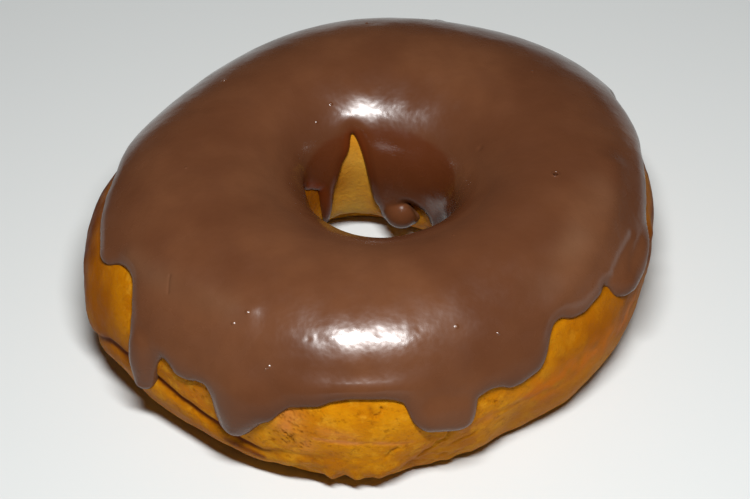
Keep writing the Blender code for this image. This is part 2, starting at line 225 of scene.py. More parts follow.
@dataclass(frozen=True)
class RingForm:
    """The round form of the whole ring, the same as in the solids.

    The section is four quarters of squared-off ellipses between the crest, the widest place of
    the outside, the foot and the tightest place of the hole. The plan is a circle with waves.
    """

    outer_radius: float = 0.0456
    hole_radius: float = 0.0122
    height: float = 0.0306
    crest_share: float = 0.47
    outer_waist: float = 0.49
    hole_waist: float = 0.50
    sink: float = 0.0025
    outer_top: float = 2.0
    hole_top: float = 2.2
    outer_foot: float = 2.9
    hole_foot: float = 2.8
    outer_waves: tuple[tuple[int, float, float], ...] = (
        (1, -0.0006, 0.0), (2, 0.0011, 0.0025), (3, -0.0004, -0.0002),
        (4, 0.0002, 0.0004), (5, -0.0006, -0.0004))
    hole_waves: tuple[tuple[int, float, float], ...] = (
        (2, 0.0007, -0.0009), (3, 0.0003, 0.0005))
    height_wave: tuple[float, float] = (-0.0004, -0.0011)
    fold_depth: float = 0.0006
    fold_width: float = 0.0009
    fold_ramp: float = 8.0
    fold_line: tuple[Place, ...] = (
        (198.0, 0.0328), (206.0, 0.0283), (212.4, 0.0275),
        (220.0, 0.0283), (225.2, 0.0294), (230.4, 0.0304), (236.0, 0.0313), (239.6, 0.0330),
        (244.4, 0.0335), (248.4, 0.0324), (256.4, 0.0320))
    fold_ease: Band = (238.0, 250.0)     # degrees over which the fold gets shallower
    eased_share: float = 0.5
    lip_swell: float = 0.0004
    lip_offset: float = 0.0030
    lip_width: float = 0.0024
    angle_step: float = 0.5              # degrees between the places of the mean section and plan
    normal_step: float = 0.4             # degrees to each side between which a normal is read
    swells: tuple[Swell, ...] = (
        Swell(48.0, 26.0, 0.0120, 0.0120, -0.0010), Swell(120.0, 24.0, 0.0120, 0.0120, -0.0008),
        Swell(178.0, 10.0, 0.0220, 0.0080, 0.0004), Swell(198.0, 6.0, 0.0290, 0.0060, 0.0012),
        Swell(225.0, 9.0, 0.0290, 0.0080, -0.0006), Swell(2.0, 10.0, 0.0200, 0.0080, 0.0007),
        Swell(279.0, 5.0, 0.0345, 0.0050, -0.0008), Swell(300.0, 7.0, 0.0345, 0.0050, -0.0009),
        Swell(348.0, 4.0, 0.0250, 0.0040, 0.0005), Swell(60.0, 18.0, 0.0300, 0.0070, 0.0005),
        Swell(120.0, 14.0, 0.0300, 0.0070, -0.0005))

    def waves(self, waves: tuple[tuple[int, float, float], ...], azimuth: Array) -> Array:
        """Sum of a plan's waves.

        Args:
            waves: Count, cosine part and sine part in metres of each wave.
            azimuth: Azimuths in radians.

        Returns:
            The sum in metres at each azimuth.
        """
        total = np.zeros_like(azimuth)
        for count, cos_part, sin_part in waves:
            total += cos_part * np.cos(count * azimuth) + sin_part * np.sin(count * azimuth)
        return total

    def section(self, outer: Array, hole: Array, height: Array,
                angle: Array) -> tuple[Array, Array]:
        """Radius and height of the section at an angle.

        Args:
            outer: Outer radius in metres.
            hole: Radius of the hole in metres.
            height: Height of the ring in metres.
            angle: Section angle in radians, nought at the outer waist, rising over the crest.

        Returns:
            The radius from the axis and the height above the foot, in metres.
        """
        crest = hole + self.crest_share * (outer - hole)
        cos_a, sin_a = np.cos(angle), np.sin(angle)
        outside, upper = cos_a > 0.0, sin_a > 0.0
        waist = np.where(outside, self.outer_waist, self.hole_waist) * height
        half = np.where(outside, outer - crest, crest - hole)
        top = np.where(outside, self.outer_top, self.hole_top)
        foot = np.where(outside, self.outer_foot, self.hole_foot)
        exponent = np.where(upper, top, foot)
        rise = np.where(upper, height - waist, waist + self.sink)
        return crest + half * power(cos_a, exponent), waist + rise * power(sin_a, exponent)

    @lru_cache(maxsize=None)
    def table(self) -> tuple[Array, Array, Array]:
        """The mean section walked from under the hole to under the rim.

        Returns:
            Angles in radians, reaches in metres and radii in metres.
        """
        angle = np.radians(np.arange(270.0, -90.01, -self.angle_step))
        radius, level = self.section(self.outer_radius, self.hole_radius, self.height, angle)
        steps = np.hypot(np.diff(radius), np.diff(level))
        reach = np.concatenate(([0.0], np.cumsum(steps)))
        reach -= np.interp(-math.pi / 2.0, -angle, reach)
        return angle, reach, radius

    def angle_at(self, reach: Array) -> Array:
        """Section angle in radians at a reach."""
        angle, table_reach, _ = self.table()
        return np.interp(reach, table_reach, angle)

    def radius_at(self, reach: Array) -> Array:
        """Mean distance from the axis at a reach."""
        _, table_reach, radius = self.table()
        return np.interp(reach, table_reach, radius)

    def ends(self) -> tuple[float, float]:
        """Reach of the middle of the foot, by way of the hole and by way of the outside."""
        _, reach, _ = self.table()
        return float(reach[0]), float(reach[-1])

    @lru_cache(maxsize=None)
    def middle(self) -> tuple[float, float]:
        """Middle of the outside's bounding box in plan, which stands on the Z axis.

        Returns:
            Its X and Y in metres.
        """
        azimuth = np.radians(np.arange(0.0, 360.0, self.angle_step))
        outer = self.outer_radius + self.waves(self.outer_waves, azimuth)
        along_x, along_y = outer * np.cos(azimuth), outer * np.sin(azimuth)
        return (float(along_x.max() + along_x.min()) / 2.0,
                float(along_y.max() + along_y.min()) / 2.0)

    def round_surface(self, azimuth: Array, angle: Array) -> Array:
        """Points of the round form, before relief and before the flat foot.

        Args:
            azimuth: Azimuths in radians.
            angle: Angles round the section in radians.

        Returns:
            The points in metres.
        """
        outer = self.outer_radius + self.waves(self.outer_waves, azimuth)
        hole = self.hole_radius + self.waves(self.hole_waves, azimuth)
        height = self.height + self.height_wave[0] * np.cos(azimuth)
        height = height + self.height_wave[1] * np.sin(azimuth)
        radius, level = self.section(outer, hole, height, angle)
        middle_x, middle_y = self.middle()
        return np.stack([radius * np.cos(azimuth) - middle_x,
                         radius * np.sin(azimuth) - middle_y, level], axis=-1)

    def outward(self, azimuth: Array, angle: Array) -> Array:
        """Normals of the round form.

        Args:
            azimuth: Azimuths in radians.
            angle: Angles round the section in radians.

        Returns:
            Unit vectors that point out of the ring.
        """
        small = math.radians(self.normal_step)
        across = (self.round_surface(azimuth + small, angle)
                  - self.round_surface(azimuth - small, angle))
        along = (self.round_surface(azimuth, angle + small)
                 - self.round_surface(azimuth, angle - small))
        normal = np.cross(across, along)
        return normal / np.linalg.norm(normal, axis=-1, keepdims=True)

    def fold(self, azimuth: Array, reach: Array) -> tuple[Array, Array]:
        """The fold along the lower front and the rolled lip under it.

        Args:
            azimuth: Azimuths in radians.
            reach: Reaches in metres.

        Returns:
            The relief outward in metres, and how far into the fold a place is, from 0 to 1.
        """
        degrees = np.degrees(azimuth) % 360.0
        places = np.array(self.fold_line)
        line = np.interp(degrees, places[:, 0], places[:, 1])
        first, last = places[0, 0], places[-1, 0]
        window = step(degrees, first - self.fold_ramp, first + self.fold_ramp)
        window = window * (1.0 - step(degrees, last - self.fold_ramp, last + self.fold_ramp))
        inside = window * swell(reach - line, self.fold_width)
        inside = inside * (1.0 - self.eased_share * step(degrees, *self.fold_ease))
        lip = window * swell(reach - line - self.lip_offset, self.lip_width)
        return self.lip_swell * lip - self.fold_depth * inside, inside

    def swelling(self, azimuth: Array, reach: Array) -> Array:
        """Swells and flats of the ring.

        Args:
            azimuth: Azimuths in radians.
            reach: Reaches in metres.

        Returns:
            The relief outward in metres.
        """
        total = np.zeros_like(reach)
        for one in self.swells:
            total += one.at(azimuth, reach)
        return total


RING = RingForm()


def dab_depth(azimuth: Array, reach: Array, root: Dab, tip: Dab, scale: float) -> Array:
    """Depth inside a stroke that tapers from its root to its tip, negative outside.

    Args:
        azimuth: Azimuths in radians.
        reach: Reaches in metres.
        root: Start of the stroke.
        tip: End of the stroke.
        scale: Ring radius by which azimuth turns into metres there.

    Returns:
        The depth in metres at each place.
    """
    length_x = math.radians(tip[0] - root[0]) * scale
    length_y = tip[1] - root[1]
    from_x = np.radians(turn(azimuth, root[0])) * scale
    from_y = reach - root[1]
    square = max(length_x**2 + length_y**2, LEAST_LENGTH**2)
    share = np.clip((from_x * length_x + from_y * length_y) / square, 0.0, 1.0)
    away = np.hypot(from_x - share * length_x, from_y - share * length_y)
    return root[2] + (tip[2] - root[2]) * share - away


@dataclass(frozen=True)
class Groove:
    """A crack or scratch along a line of places, or a low ridge where its depth is negative."""

    path: tuple[Place, ...]
    half_width: float
    depth: float


class Kind(Enum):
    """What a small mark on a surface is."""

    PIT = "open bubble with a rim"
    BUBBLE = "closed bubble"
    DIMPLE = "shallow dent"


PIT_WALL: Band = (0.45, 1.05)        # an open bubble's wall, in radii from its middle
PIT_RIM_PLACE = 1.25                 # its raised rim, in radii, and its share of the depth
PIT_RIM_WIDTH = 0.35
PIT_RIM_SHARE = 0.22
DIMPLE_WIDTH = 0.7                   # where a shallow dent falls off, in radii
MARK_SPAN = 12.0                     # degrees round a mark that its relief can reach
MARK_RADII = 4.0                     # radii along the reach that it can reach


@dataclass(frozen=True)
class Mark:
    """A small mark at one place: its kind, where it is, its radius and its height or depth."""

    kind: Kind
    azimuth: float
    reach: float
    radius: float
    height: float


def distance_to(azimuth: Array, reach: Array, middle: Place) -> Array:
    """Distance of places from one place along the surface, in metres."""
    across = np.radians(turn(azimuth, middle[0])) * RING.radius_at(reach)
    return np.hypot(across, reach - middle[1])


def distance_to_line(azimuth: Array, reach: Array, path: tuple[Place, ...]) -> Array:
    """Distance of places from a line through named places.

    Args:
        azimuth: Azimuths in radians.
        reach: Reaches in metres.
        path: The places that the line joins.

    Returns:
        The distance in metres at each place.
    """
    scale = float(RING.radius_at(path[0][1]))
    nearest = np.full(len(azimuth), np.inf)
    for start, end in zip(path[:-1], path[1:]):
        root, tip = (start[0], start[1], 0.0), (end[0], end[1], 0.0)
        nearest = np.minimum(nearest, -dab_depth(azimuth, reach, root, tip, scale))
    return nearest


@dataclass(frozen=True)
class Streak:
    """A coloured streak on a surface: its line, half width, and how much it shows."""

    path: tuple[Place, ...]
    half_width: float
    share: float


def streak_share(azimuth: Array, reach: Array, streaks: tuple[Streak, ...]) -> Array:
    """How much each place lies in one of the streaks.

    Args:
        azimuth: Azimuths in radians.
        reach: Reaches in metres.
        streaks: The streaks.

    Returns:
        The share at each place, from 0 up.
    """
    share = np.zeros(len(azimuth))
    for streak in streaks:
        away = distance_to_line(azimuth, reach, streak.path)
        share = np.maximum(share, streak.share * swell(away, streak.half_width))
    return share


def mark_relief(azimuth: Array, reach: Array, marks: tuple[Mark, ...]) -> tuple[Array, Array]:
    """Relief of small marks.

    Args:
        azimuth: Azimuths in radians.
        reach: Reaches in metres.
        marks: The marks.

    Returns:
        The relief outward in metres, and how far inside an open pit a place is, from 0 to 1.
    """
    out, inside = np.zeros(len(azimuth)), np.zeros(len(azimuth))
    for mark in marks:
        near = np.abs(turn(azimuth, mark.azimuth)) < MARK_SPAN
        near &= np.abs(reach - mark.reach) < MARK_RADII * mark.radius
        near = np.flatnonzero(near)
        away = distance_to(azimuth[near], reach[near], (mark.azimuth, mark.reach)) / mark.radius
        if mark.kind is Kind.PIT:
            hollow = 1.0 - step(away, *PIT_WALL)
            rim = PIT_RIM_SHARE * swell(away - PIT_RIM_PLACE, PIT_RIM_WIDTH)
            out[near] -= mark.height * (hollow - rim)
            inside[near] = np.maximum(inside[near], hollow)
        elif mark.kind is Kind.BUBBLE:
            out[near] += mark.height * np.sqrt(np.clip(1.0 - away**2, 0.0, 1.0))
        else:
            out[near] -= mark.height * swell(away, DIMPLE_WIDTH)
    return out, inside


# the blank ring that every piece starts from, and its refining


@dataclass(frozen=True)
class Blank:
    """A plain ring whose vertices stand for places.

    The azimuth runs round it and the reach round its tube, whatever its own radii are.
    """

    turns: int
    sides: int
    ring: float = 0.030
    tube: float = 0.015
    slack: float = 1.45          # an edge is halved when it is so many times too long

    def shell(self) -> bmesh.types.BMesh:
        """The ring, made by spinning a circle a full turn.

        Returns:
            Its mesh.
        """
        made = bmesh.new()
        upright = Matrix.Translation((self.ring, 0.0, 0.0)) @ Matrix.Rotation(math.pi / 2, 4, "X")
        bmesh.ops.create_circle(made, segments=self.sides, radius=self.tube, matrix=upright)
        bmesh.ops.spin(made, geom=made.verts[:] + made.edges[:], cent=(0, 0, 0), axis=(0, 0, 1),
                       angle=2.0 * math.pi, steps=self.turns, use_merge=True)
        return made

    def places(self, shell: bmesh.types.BMesh) -> tuple[Array, Array]:
        """Where every vertex lies on the ring.

        Args:
            shell: The mesh.

        Returns:
            Azimuths in radians and reaches in metres.
        """
        shell.verts.index_update()
        points = np.array([vertex.co for vertex in shell.verts])
        azimuth = np.arctan2(points[:, 1], points[:, 0])
        tube = np.arctan2(np.hypot(points[:, 0], points[:, 1]) - self.ring, points[:, 2])
        hole_end, outer_end = RING.ends()
        return azimuth, tube / math.pi * np.where(tube > 0.0, outer_end, -hole_end)

    def refine(self, shell: bmesh.types.BMesh, target: Callable[[Array, Array], Array],
               kept: bmesh.types.BMLayerItem | None, rounds: int) -> None:
        """Halve every edge that is longer than the mesh needs there, again and again.

        Args:
            shell: The ring to refine.
            target: Gives the wanted edge length in metres for azimuths and reaches.
            kept: Layer that is one on vertices whose edges stay as they are, if there is one.
            rounds: How many times the edges are looked at.
        """
        hole_end, outer_end = RING.ends()
        whole = outer_end - hole_end
        for _ in range(rounds):
            azimuth, reach = self.places(shell)
            wanted = target(azimuth, reach)
            if kept is not None:
                wanted = np.where([vertex[kept] > 0.5 for vertex in shell.verts], np.inf, wanted)
            shell.edges.ensure_lookup_table()
            ends = np.array([[end.index for end in edge.verts] for edge in shell.edges])
            first, second = ends[:, 0], ends[:, 1]
            turned = azimuth[second] - azimuth[first]
            turned = (turned + math.pi) % (2.0 * math.pi) - math.pi
            along = (reach[second] - reach[first] + whole / 2.0) % whole - whole / 2.0
            length = np.hypot(turned * RING.radius_at(reach[first]), along)
            long = length > self.slack * np.minimum(wanted[first], wanted[second])
            chosen = [shell.edges[index] for index in np.flatnonzero(long)]
            if not chosen:
                break
            bmesh.ops.subdivide_edges(shell, edges=chosen, cuts=1, use_grid_fill=True)


def finished_piece(name: str, shell: bmesh.types.BMesh, points: Array,
                   traits: dict[str, Array]) -> bpy.types.Object:
    """Turn a shell into a smooth piece whose vertices lie at given points.

    Args:
        name: Name of the piece.
        shell: Its mesh, which is freed.
        points: Where each vertex lies, in metres.
        traits: Values for each vertex that the finish reads, by name.

    Returns:
        The piece, linked to the scene.
    """
    for vertex, point in zip(shell.verts, points):
        vertex.co = point
    bmesh.ops.recalc_face_normals(shell, faces=shell.faces)
    mesh = bpy.data.meshes.new(name)
    shell.to_mesh(mesh)
    shell.free()
    mesh.shade_smooth()
    for trait, values in traits.items():
        layer = mesh.attributes.new(trait, "FLOAT", "POINT")
        layer.data.foreach_set("value", values.astype(np.float32))
    piece = bpy.data.objects.new(name, mesh)
    bpy.context.scene.collection.objects.link(piece)
    triangles = sum(len(face.vertices) - 2 for face in mesh.polygons)
    LOG.info("%s: %d triangles", name, triangles)
    return piece


@dataclass(frozen=True)
class Edge:
    """One edge of the coat: a scalloped line and the drips that leave it.

    Reaches count away from the crest. The scale is the ring radius by which the azimuths of the
    drips turn into metres.
    """

    line: tuple[Place, ...]
    drips: tuple[tuple[Dab, Dab], ...]
    scale: float
    blend: float = 0.0008

    def cover(self, azimuth: Array, reach: Array) -> Array:
        """Depth inside the icing.

        Args:
            azimuth: Azimuths in radians.
            reach: Reaches away from the crest in metres.

        Returns:
            The depth in metres, negative on bare dough.
        """
        total = smooth_line(self.line, azimuth) - reach
        for root, tip in self.drips:
            other = dab_depth(azimuth, reach, root, tip, self.scale)
            near = np.clip(self.blend - np.abs(total - other), 0.0, self.blend) / self.blend
            total = np.maximum(total, other) + near * near * self.blend / 4.0
        return total


@dataclass(frozen=True)
class Run:
    """A place where the icing has gathered: its ends, its height and how full its form is."""

    root: Dab
    tip: Dab
    height: float
    fullness: float
    side: Side = Side.OUTSIDE
    softness: float = 2.0

    def rise(self, azimuth: Array, reach: Array) -> Array:
        """Extra thickness, a smooth mound along the line from root to tip.

        Args:
            azimuth: Azimuths in radians.
            reach: Reaches in metres.

        Returns:
            The thickness in metres.
        """
        outside = self.side is Side.OUTSIDE
        scale = OUTER_SCALE if outside else HOLE_SCALE
        away = reach if outside else -reach
        depth = dab_depth(azimuth, away, self.root, self.tip, scale)
        width = max(self.root[2], self.tip[2])
        share = np.clip(1.0 - depth / width, 0.0, 1.0)
        return self.height * (1.0 - share**self.fullness) ** self.softness


@dataclass(frozen=True)
class Bead:
    """A low bead of icing across the front, with a slight hollow above it."""

    azimuth: float = 264.0
    half_width: float = 12.0
    reach: float = 0.0177
    width: float = 0.0014
    height: float = 0.00040
    hollow_offset: float = 0.0025
    hollow_share: float = 0.5

    def rise(self, azimuth: Array, reach: Array) -> Array:
        """Height of the bead, negative in its hollow.

        Args:
            azimuth: Azimuths in radians.
            reach: Reaches in metres.

        Returns:
            The height in metres.
        """
        window = swell(turn(azimuth, self.azimuth), self.half_width)
        crown = swell(reach - self.reach, self.width)
        hollow = swell(reach - self.reach + self.hollow_offset, self.width)
        return window * self.height * (crown - self.hollow_share * hollow)


@dataclass(frozen=True)
class CoatMesh:
    """How fine the coat's mesh is: edge lengths in metres, and where each one holds."""

    turns: int = 232
    sides: int = 92
    rounds: int = 6
    rim_depth: float = 0.0014
    rim: float = 0.00024
    slope_depth: float = 0.0034
    slope: float = 0.00042
    field: float = 0.00052
    bare_depth: float = -0.0008
    bare: float = 0.0040
    mark_radii: float = 2.2
    mark: float = 0.00010
    scratch_widths: float = 2.0
    scratch_share: float = 0.45          # share of a scratch's half width
    blob_radii: float = 1.3
    blob: float = 0.00016
    first_cut: float = -0.0030           # depths past which the skin's two faces are cut away
    under_cut: float = 0.0016
    last_cut: float = -0.00035


@dataclass(frozen=True)
class CoatBands:
    """Where the coat's looks change: depths in from its edge, and reaches, in metres."""

    # depths of the painted reflection along the rim
    rim: Band = (0.0001, 0.0006)
    # where the painted shade on the hole's wall sets in, past the line where the wall turns steep
    wall: Band = (-0.0003, 0.0006)
    film: Band = (0.0005, 0.0024)
    dull_rim: Band = (0.0008, 0.0030)
    dull_side: Band = (0.0150, 0.0200)
    dull_hole: Band = (0.0240, 0.0290)
    dull_hole_share: float = 0.9
    lining: Band = (0.0090, 0.0120)
    lining_rim: Band = (0.0016, 0.0046)
    blob_wall: float = 0.0056            # round the blob: how far the painted shade of the wall gives way, and how far its shine is dull
    blob_wall_share: float = 0.7
    blob_dull: float = 0.0042
    blob_dull_share: float = 1.6


@dataclass(frozen=True)
class IcingCoat:
    """The poured coat of milk-chocolate icing: a closed skin with a rounded rim.

    Its two edges count their reaches away from the crest. Over its even thickness lie the runs
    where it gathered, a bead, low ridges, scratches, small marks and ripples. The films and the
    thin spot are where it ran out, and the blob is the round drop low in the hole.
    """

    outer: Edge = Edge(
        line=((8.0, 0.0178), (16.0, 0.0192), (27.0, 0.0184), (40.0, 0.0204), (54.0, 0.0176),
              (68.0, 0.0192), (82.0, 0.0182), (97.0, 0.0206), (112.0, 0.0178), (126.0, 0.0188),
              (140.0, 0.0172), (153.0, 0.0188), (166.0, 0.0172), (176.0, 0.0147), (184.0, 0.0154),
              (188.0, 0.0160), (191.6, 0.0165), (194.0, 0.0170), (196.6, 0.0176), (198.6, 0.0170),
              (200.8, 0.0155), (204.4, 0.0145),
              (206.8, 0.0149), (210.0, 0.0171), (212.0, 0.0196), (213.2, 0.0228), (213.8, 0.0268),
              (214.8, 0.0300), (216.6, 0.0312), (218.3, 0.0306), (219.3, 0.0288), (219.9, 0.0262),
              (220.6, 0.0238), (221.6, 0.0222), (223.4, 0.0222), (225.4, 0.0232), (228.0, 0.0233),
              (231.2, 0.0224), (233.2, 0.0228), (234.4, 0.0248), (235.2, 0.0280), (236.7, 0.0298),
              (238.6, 0.0305), (240.3, 0.0302), (242.0, 0.0290), (244.8, 0.0260), (247.4, 0.0243),
              (249.4, 0.0223), (250.6, 0.0214), (252.8, 0.0210), (256.8, 0.0205), (259.0, 0.0197),
              (262.0, 0.0192), (266.0, 0.0192), (269.4, 0.0195), (272.2, 0.0201), (273.4, 0.0208),
              (274.0, 0.0221), (274.8, 0.0240), (276.2, 0.0258), (278.4, 0.0268), (281.0, 0.0276),
              (283.4, 0.0284), (285.2, 0.0284), (286.8, 0.0279), (288.0, 0.0268), (288.8, 0.0248),
              (289.2, 0.0235), (290.2, 0.0230), (292.4, 0.0227), (294.4, 0.0230), (297.2, 0.0240),
              (299.4, 0.0241), (302.4, 0.0236), (305.2, 0.0228), (307.2, 0.0210), (308.9, 0.0189),
              (310.8, 0.0174), (313.0, 0.0172), (315.6, 0.0182), (318.4, 0.0187), (322.0, 0.0185),
              (325.2, 0.0182), (327.6, 0.0179), (328.6, 0.0188), (329.2, 0.0206), (330.4, 0.0218),
              (333.0, 0.0227), (336.5, 0.0231), (340.0, 0.0232), (343.5, 0.0220), (348.2, 0.0200),
              (354.0, 0.0186)),
        drips=(((32.0, 0.0170, 0.0034), (33.0, 0.0238, 0.0025)),
               ((74.0, 0.0170, 0.0030), (75.0, 0.0218, 0.0026)),
               ((104.0, 0.0180, 0.0040), (103.0, 0.0256, 0.0026)),
               ((147.0, 0.0170, 0.0032), (146.0, 0.0232, 0.0024))),
        scale=OUTER_SCALE)
    hole: Edge = Edge(
        line=((0.0, 0.0290), (14.0, 0.0272), (26.0, 0.0300), (35.0, 0.0335), (39.0, 0.0342),
              (41.6, 0.0330), (44.0, 0.0309), (54.0, 0.0286), (62.0, 0.0279), (68.0, 0.0275),
              (75.0, 0.0284), (82.0, 0.0300), (88.4, 0.0316), (92.0, 0.0302), (96.4, 0.0280),
              (99.9, 0.0231), (103.2, 0.0181), (107.2, 0.0151), (111.0, 0.0177), (117.8, 0.0206),
              (122.5, 0.0235), (126.0, 0.0262), (128.6, 0.0303), (130.6, 0.0334), (133.4, 0.0338),
              (136.2, 0.0312), (138.4, 0.0260), (143.0, 0.0238), (150.0, 0.0224), (158.0, 0.0206),
              (166.0, 0.0212), (178.0, 0.0242), (190.0, 0.0285), (210.0, 0.0262), (232.0, 0.0300),
              (255.0, 0.0268), (280.0, 0.0294), (305.0, 0.0272), (330.0, 0.0298), (346.0, 0.0276)),
        drips=(((76.0, 0.0270, 0.0018), (72.0, 0.0318, 0.0034)),
               ((236.0, 0.0270, 0.0020), (237.0, 0.0325, 0.0018)),
               ((318.0, 0.0280, 0.0020), (317.0, 0.0322, 0.0018))),
        scale=HOLE_SCALE)
    edge_ripple: Mottle = Mottle(0.0, 0.00010, 0.0017, 3)
    thickness: float = 0.00161
    rim_thickness: float = 0.00105
    rim_width: float = 0.00095
    rim_shift: float = 0.0006            # how far the rim's vertices may be gathered
    body_rise: Band = (0.0002, 0.0024)   # depths between which the rim gives way to the body
    tuck: float = 0.00050                # how deep the under side lies in the dough
    tuck_slope: float = 1.7
    runs: tuple[Run, ...] = (
        Run((216.4, 0.0222, 0.0030), (216.8, 0.0282, 0.0030), 0.0006, 2.6),
        Run((240.8, 0.0215, 0.0060), (239.4, 0.0278, 0.0034), 0.0009, 2.4),
        Run((279.6, 0.0240, 0.0040), (285.0, 0.0250, 0.0040), 0.0007, 2.6),
        Run((360.0, 0.0196, 0.0004), (334.0, 0.0204, 0.0038), 0.0008, 2.2),
        Run((104.0, 0.0210, 0.0038), (103.0, 0.0258, 0.0034), 0.0008, 2.4),
        Run((75.0, 0.0190, 0.0036), (75.0, 0.0218, 0.0034), 0.0006, 2.4),
        Run((237.0, 0.0300, 0.0026), (237.0, 0.0325, 0.0028), 0.0007, 2.4, Side.HOLE),
        Run((317.0, 0.0300, 0.0026), (317.0, 0.0322, 0.0028), 0.0007, 2.4, Side.HOLE))
    # where the wall of the hole turns steep and its painted shade begins
    wall_shade_from: tuple[Place, ...] = (
        (8.0, 0.0185), (17.0, 0.0169), (28.0, 0.0157), (42.0, 0.0149), (58.0, 0.0141),
        (73.0, 0.0135), (88.0, 0.0137), (100.0, 0.0141), (112.0, 0.0147), (125.0, 0.0150),
        (138.0, 0.0160), (152.0, 0.0175), (170.0, 0.0186), (215.0, 0.0170), (265.0, 0.0160),
        (320.0, 0.0172))
    film_most: float = 0.9
    films: tuple[Swell, ...] = (
        Swell(146.0, 17.0, -0.0228, 0.0070, 0.90), Swell(108.0, 14.0, -0.0190, 0.0060, 0.60))
    blob: Place = (70.0, -0.0309)
    blob_lift: float = 0.0004
    blob_radius: float = 0.0030
    blob_power: float = 8.0              # how sharply the ball leaves the coat
    blob_rim: Band = (0.0, 0.0008)
    thin_spot: Swell = Swell(150.0, 13.0, -0.0225, 0.0060, 0.80)
    # painted sheen: paler streaks where light glances off the shoulders, and on a drip's head
    sheen_streaks: tuple[Streak, ...] = (
        Streak(((350.0, 0.0082), (336.0, 0.0085), (322.8, 0.0096), (312.0, 0.0110)), 0.0026, 1.0),
        Streak(((204.0, 0.0131), (215.2, 0.0110), (232.0, 0.0100)), 0.0020, 0.70),
        Streak(((235.2, 0.0225), (237.6, 0.0260)), 0.0020, 0.90))
    sheen_mottle: Mottle = Mottle(0.75, 0.5, 0.0050, 32)
    bead: Bead = Bead()
    ripples: tuple[Mottle, ...] = (
        Mottle(0.0, 0.000090, 0.0105, 11), Mottle(0.0, 0.000050, 0.0048, 12),
        Mottle(0.0, 0.000034, 0.0028, 14), Mottle(0.0, 0.000012, 0.0019, 13))
    rippled: Band = (0.0004, 0.0030)     # depths between which the ripples set in
    ridges: tuple[Groove, ...] = (
        Groove(((358.0, 0.0098), (353.2, 0.0105), (342.0, 0.0110), (329.2, 0.0114),
                (314.0, 0.0142)), 0.0022, -0.00045),
        Groove(((203.2, 0.0124), (212.4, 0.0101), (225.0, 0.0095), (237.2, 0.0091)),
               0.0016, -0.00032))
    marks: tuple[Mark, ...] = (
        Mark(Kind.PIT, 348.8, 0.0010, 0.00044, 0.00060),
        Mark(Kind.DIMPLE, 16.0, -0.0109, 0.00070, 0.00016),
        Mark(Kind.BUBBLE, 183.2, 0.0015, 0.00022, 0.00010),
        Mark(Kind.BUBBLE, 115.2, -0.0097, 0.00026, 0.00012),
        Mark(Kind.BUBBLE, 127.6, -0.0118, 0.00024, 0.00012),
        Mark(Kind.BUBBLE, 301.2, -0.0047, 0.00022, 0.00010),
        Mark(Kind.BUBBLE, 296.4, 0.0142, 0.00026, 0.00014),
        Mark(Kind.BUBBLE, 236.8, 0.0096, 0.00030, 0.00014),
        Mark(Kind.BUBBLE, 234.8, 0.0117, 0.00028, 0.00013),
        Mark(Kind.BUBBLE, 245.6, 0.0156, 0.00030, 0.00014),
        Mark(Kind.BUBBLE, 245.1, 0.0161, 0.00020, 0.00010),
        Mark(Kind.BUBBLE, 287.2, 0.0110, 0.00034, 0.00012),
        Mark(Kind.DIMPLE, 252.6, 0.0108, 0.00060, 0.00004),
        Mark(Kind.DIMPLE, 249.6, 0.0100, 0.00130, 0.00004),
        Mark(Kind.DIMPLE, 254.6, 0.0104, 0.00100, 0.00003),
        Mark(Kind.DIMPLE, 268.6, 0.0094, 0.00110, 0.00003),
        Mark(Kind.DIMPLE, 278.0, 0.0096, 0.00150, 0.00004),
        Mark(Kind.BUBBLE, 38.0, 0.0040, 0.00024, 0.00011),
        Mark(Kind.BUBBLE, 92.0, 0.0092, 0.00026, 0.00012),
        Mark(Kind.PIT, 141.0, 0.0060, 0.00030, 0.00030))
    scratches: tuple[Groove, ...] = (
        Groove(((214.8, 0.0105), (215.8, 0.0114), (217.2, 0.0125)), 0.00022, 0.00010),
        Groove(((342.0, 0.0163), (335.2, 0.0161), (331.2, 0.0166), (328.0, 0.0178)),
               0.00085, 0.00020),
        Groove(((343.0, 0.0180), (337.0, 0.0182), (333.0, 0.0190)), 0.00065, 0.00012))
    mesh: CoatMesh = CoatMesh()
    bands: CoatBands = CoatBands()
    shore_turn: float = 0.12             # degrees between the places read along the edges
    shore_step: float = 0.00012          # and metres
    shore_hole: Band = (-0.0390, -0.0080)
    shore_outer: Band = (0.0080, 0.0360)

    def raw_depth(self, azimuth: Array, reach: Array) -> Array:
        """Depth inside the coat on both sides of the crest, with the ripple of its edge.

        Args:
            azimuth: Azimuths in radians.
            reach: Reaches in metres.

        Returns:
            The depth in metres, negative on bare dough.
        """
        radius = RING.radius_at(reach)
        places = np.stack([radius * np.cos(azimuth), radius * np.sin(azimuth), reach], axis=-1)
        depth = np.minimum(self.outer.cover(azimuth, reach), self.hole.cover(azimuth, -reach))
        return depth + self.edge_ripple.at(places)

    @lru_cache(maxsize=None)
    def shore(self) -> tuple[KDTree, Array, Array]:
        """Close-set places along both edges of the coat.

        Returns:
            A tree that finds the nearest of them, their azimuths and their reaches.
        """
        turned = np.radians(np.arange(0.0, 360.0, self.shore_turn))
        found = []
        for stretch in (self.shore_hole, self.shore_outer):
            levels = np.arange(*stretch, self.shore_step)
            azimuth, reach = np.meshgrid(turned, levels, indexing="ij")
            depth = self.raw_depth(azimuth.ravel(), reach.ravel()).reshape(azimuth.shape)
            for axis in (0, 1):
                ahead = np.roll(depth, -1, axis)
                crossed = (depth > 0.0) != (ahead > 0.0)
                if axis == 1:
                    crossed[:, -1] = False
                share = depth[crossed] / (depth[crossed] - ahead[crossed])
                across = np.radians(self.shore_turn) * share if axis == 0 else 0.0
                along = self.shore_step * share if axis == 1 else 0.0
                found.append((azimuth[crossed] + across, reach[crossed] + along))
        azimuth = np.concatenate([one[0] for one in found])
        reach = np.concatenate([one[1] for one in found])
        tree = KDTree(len(azimuth))
        for index, place in enumerate(RING.round_surface(azimuth, RING.angle_at(reach))):
            tree.insert(place, index)
        tree.balance()
        return tree, azimuth, reach

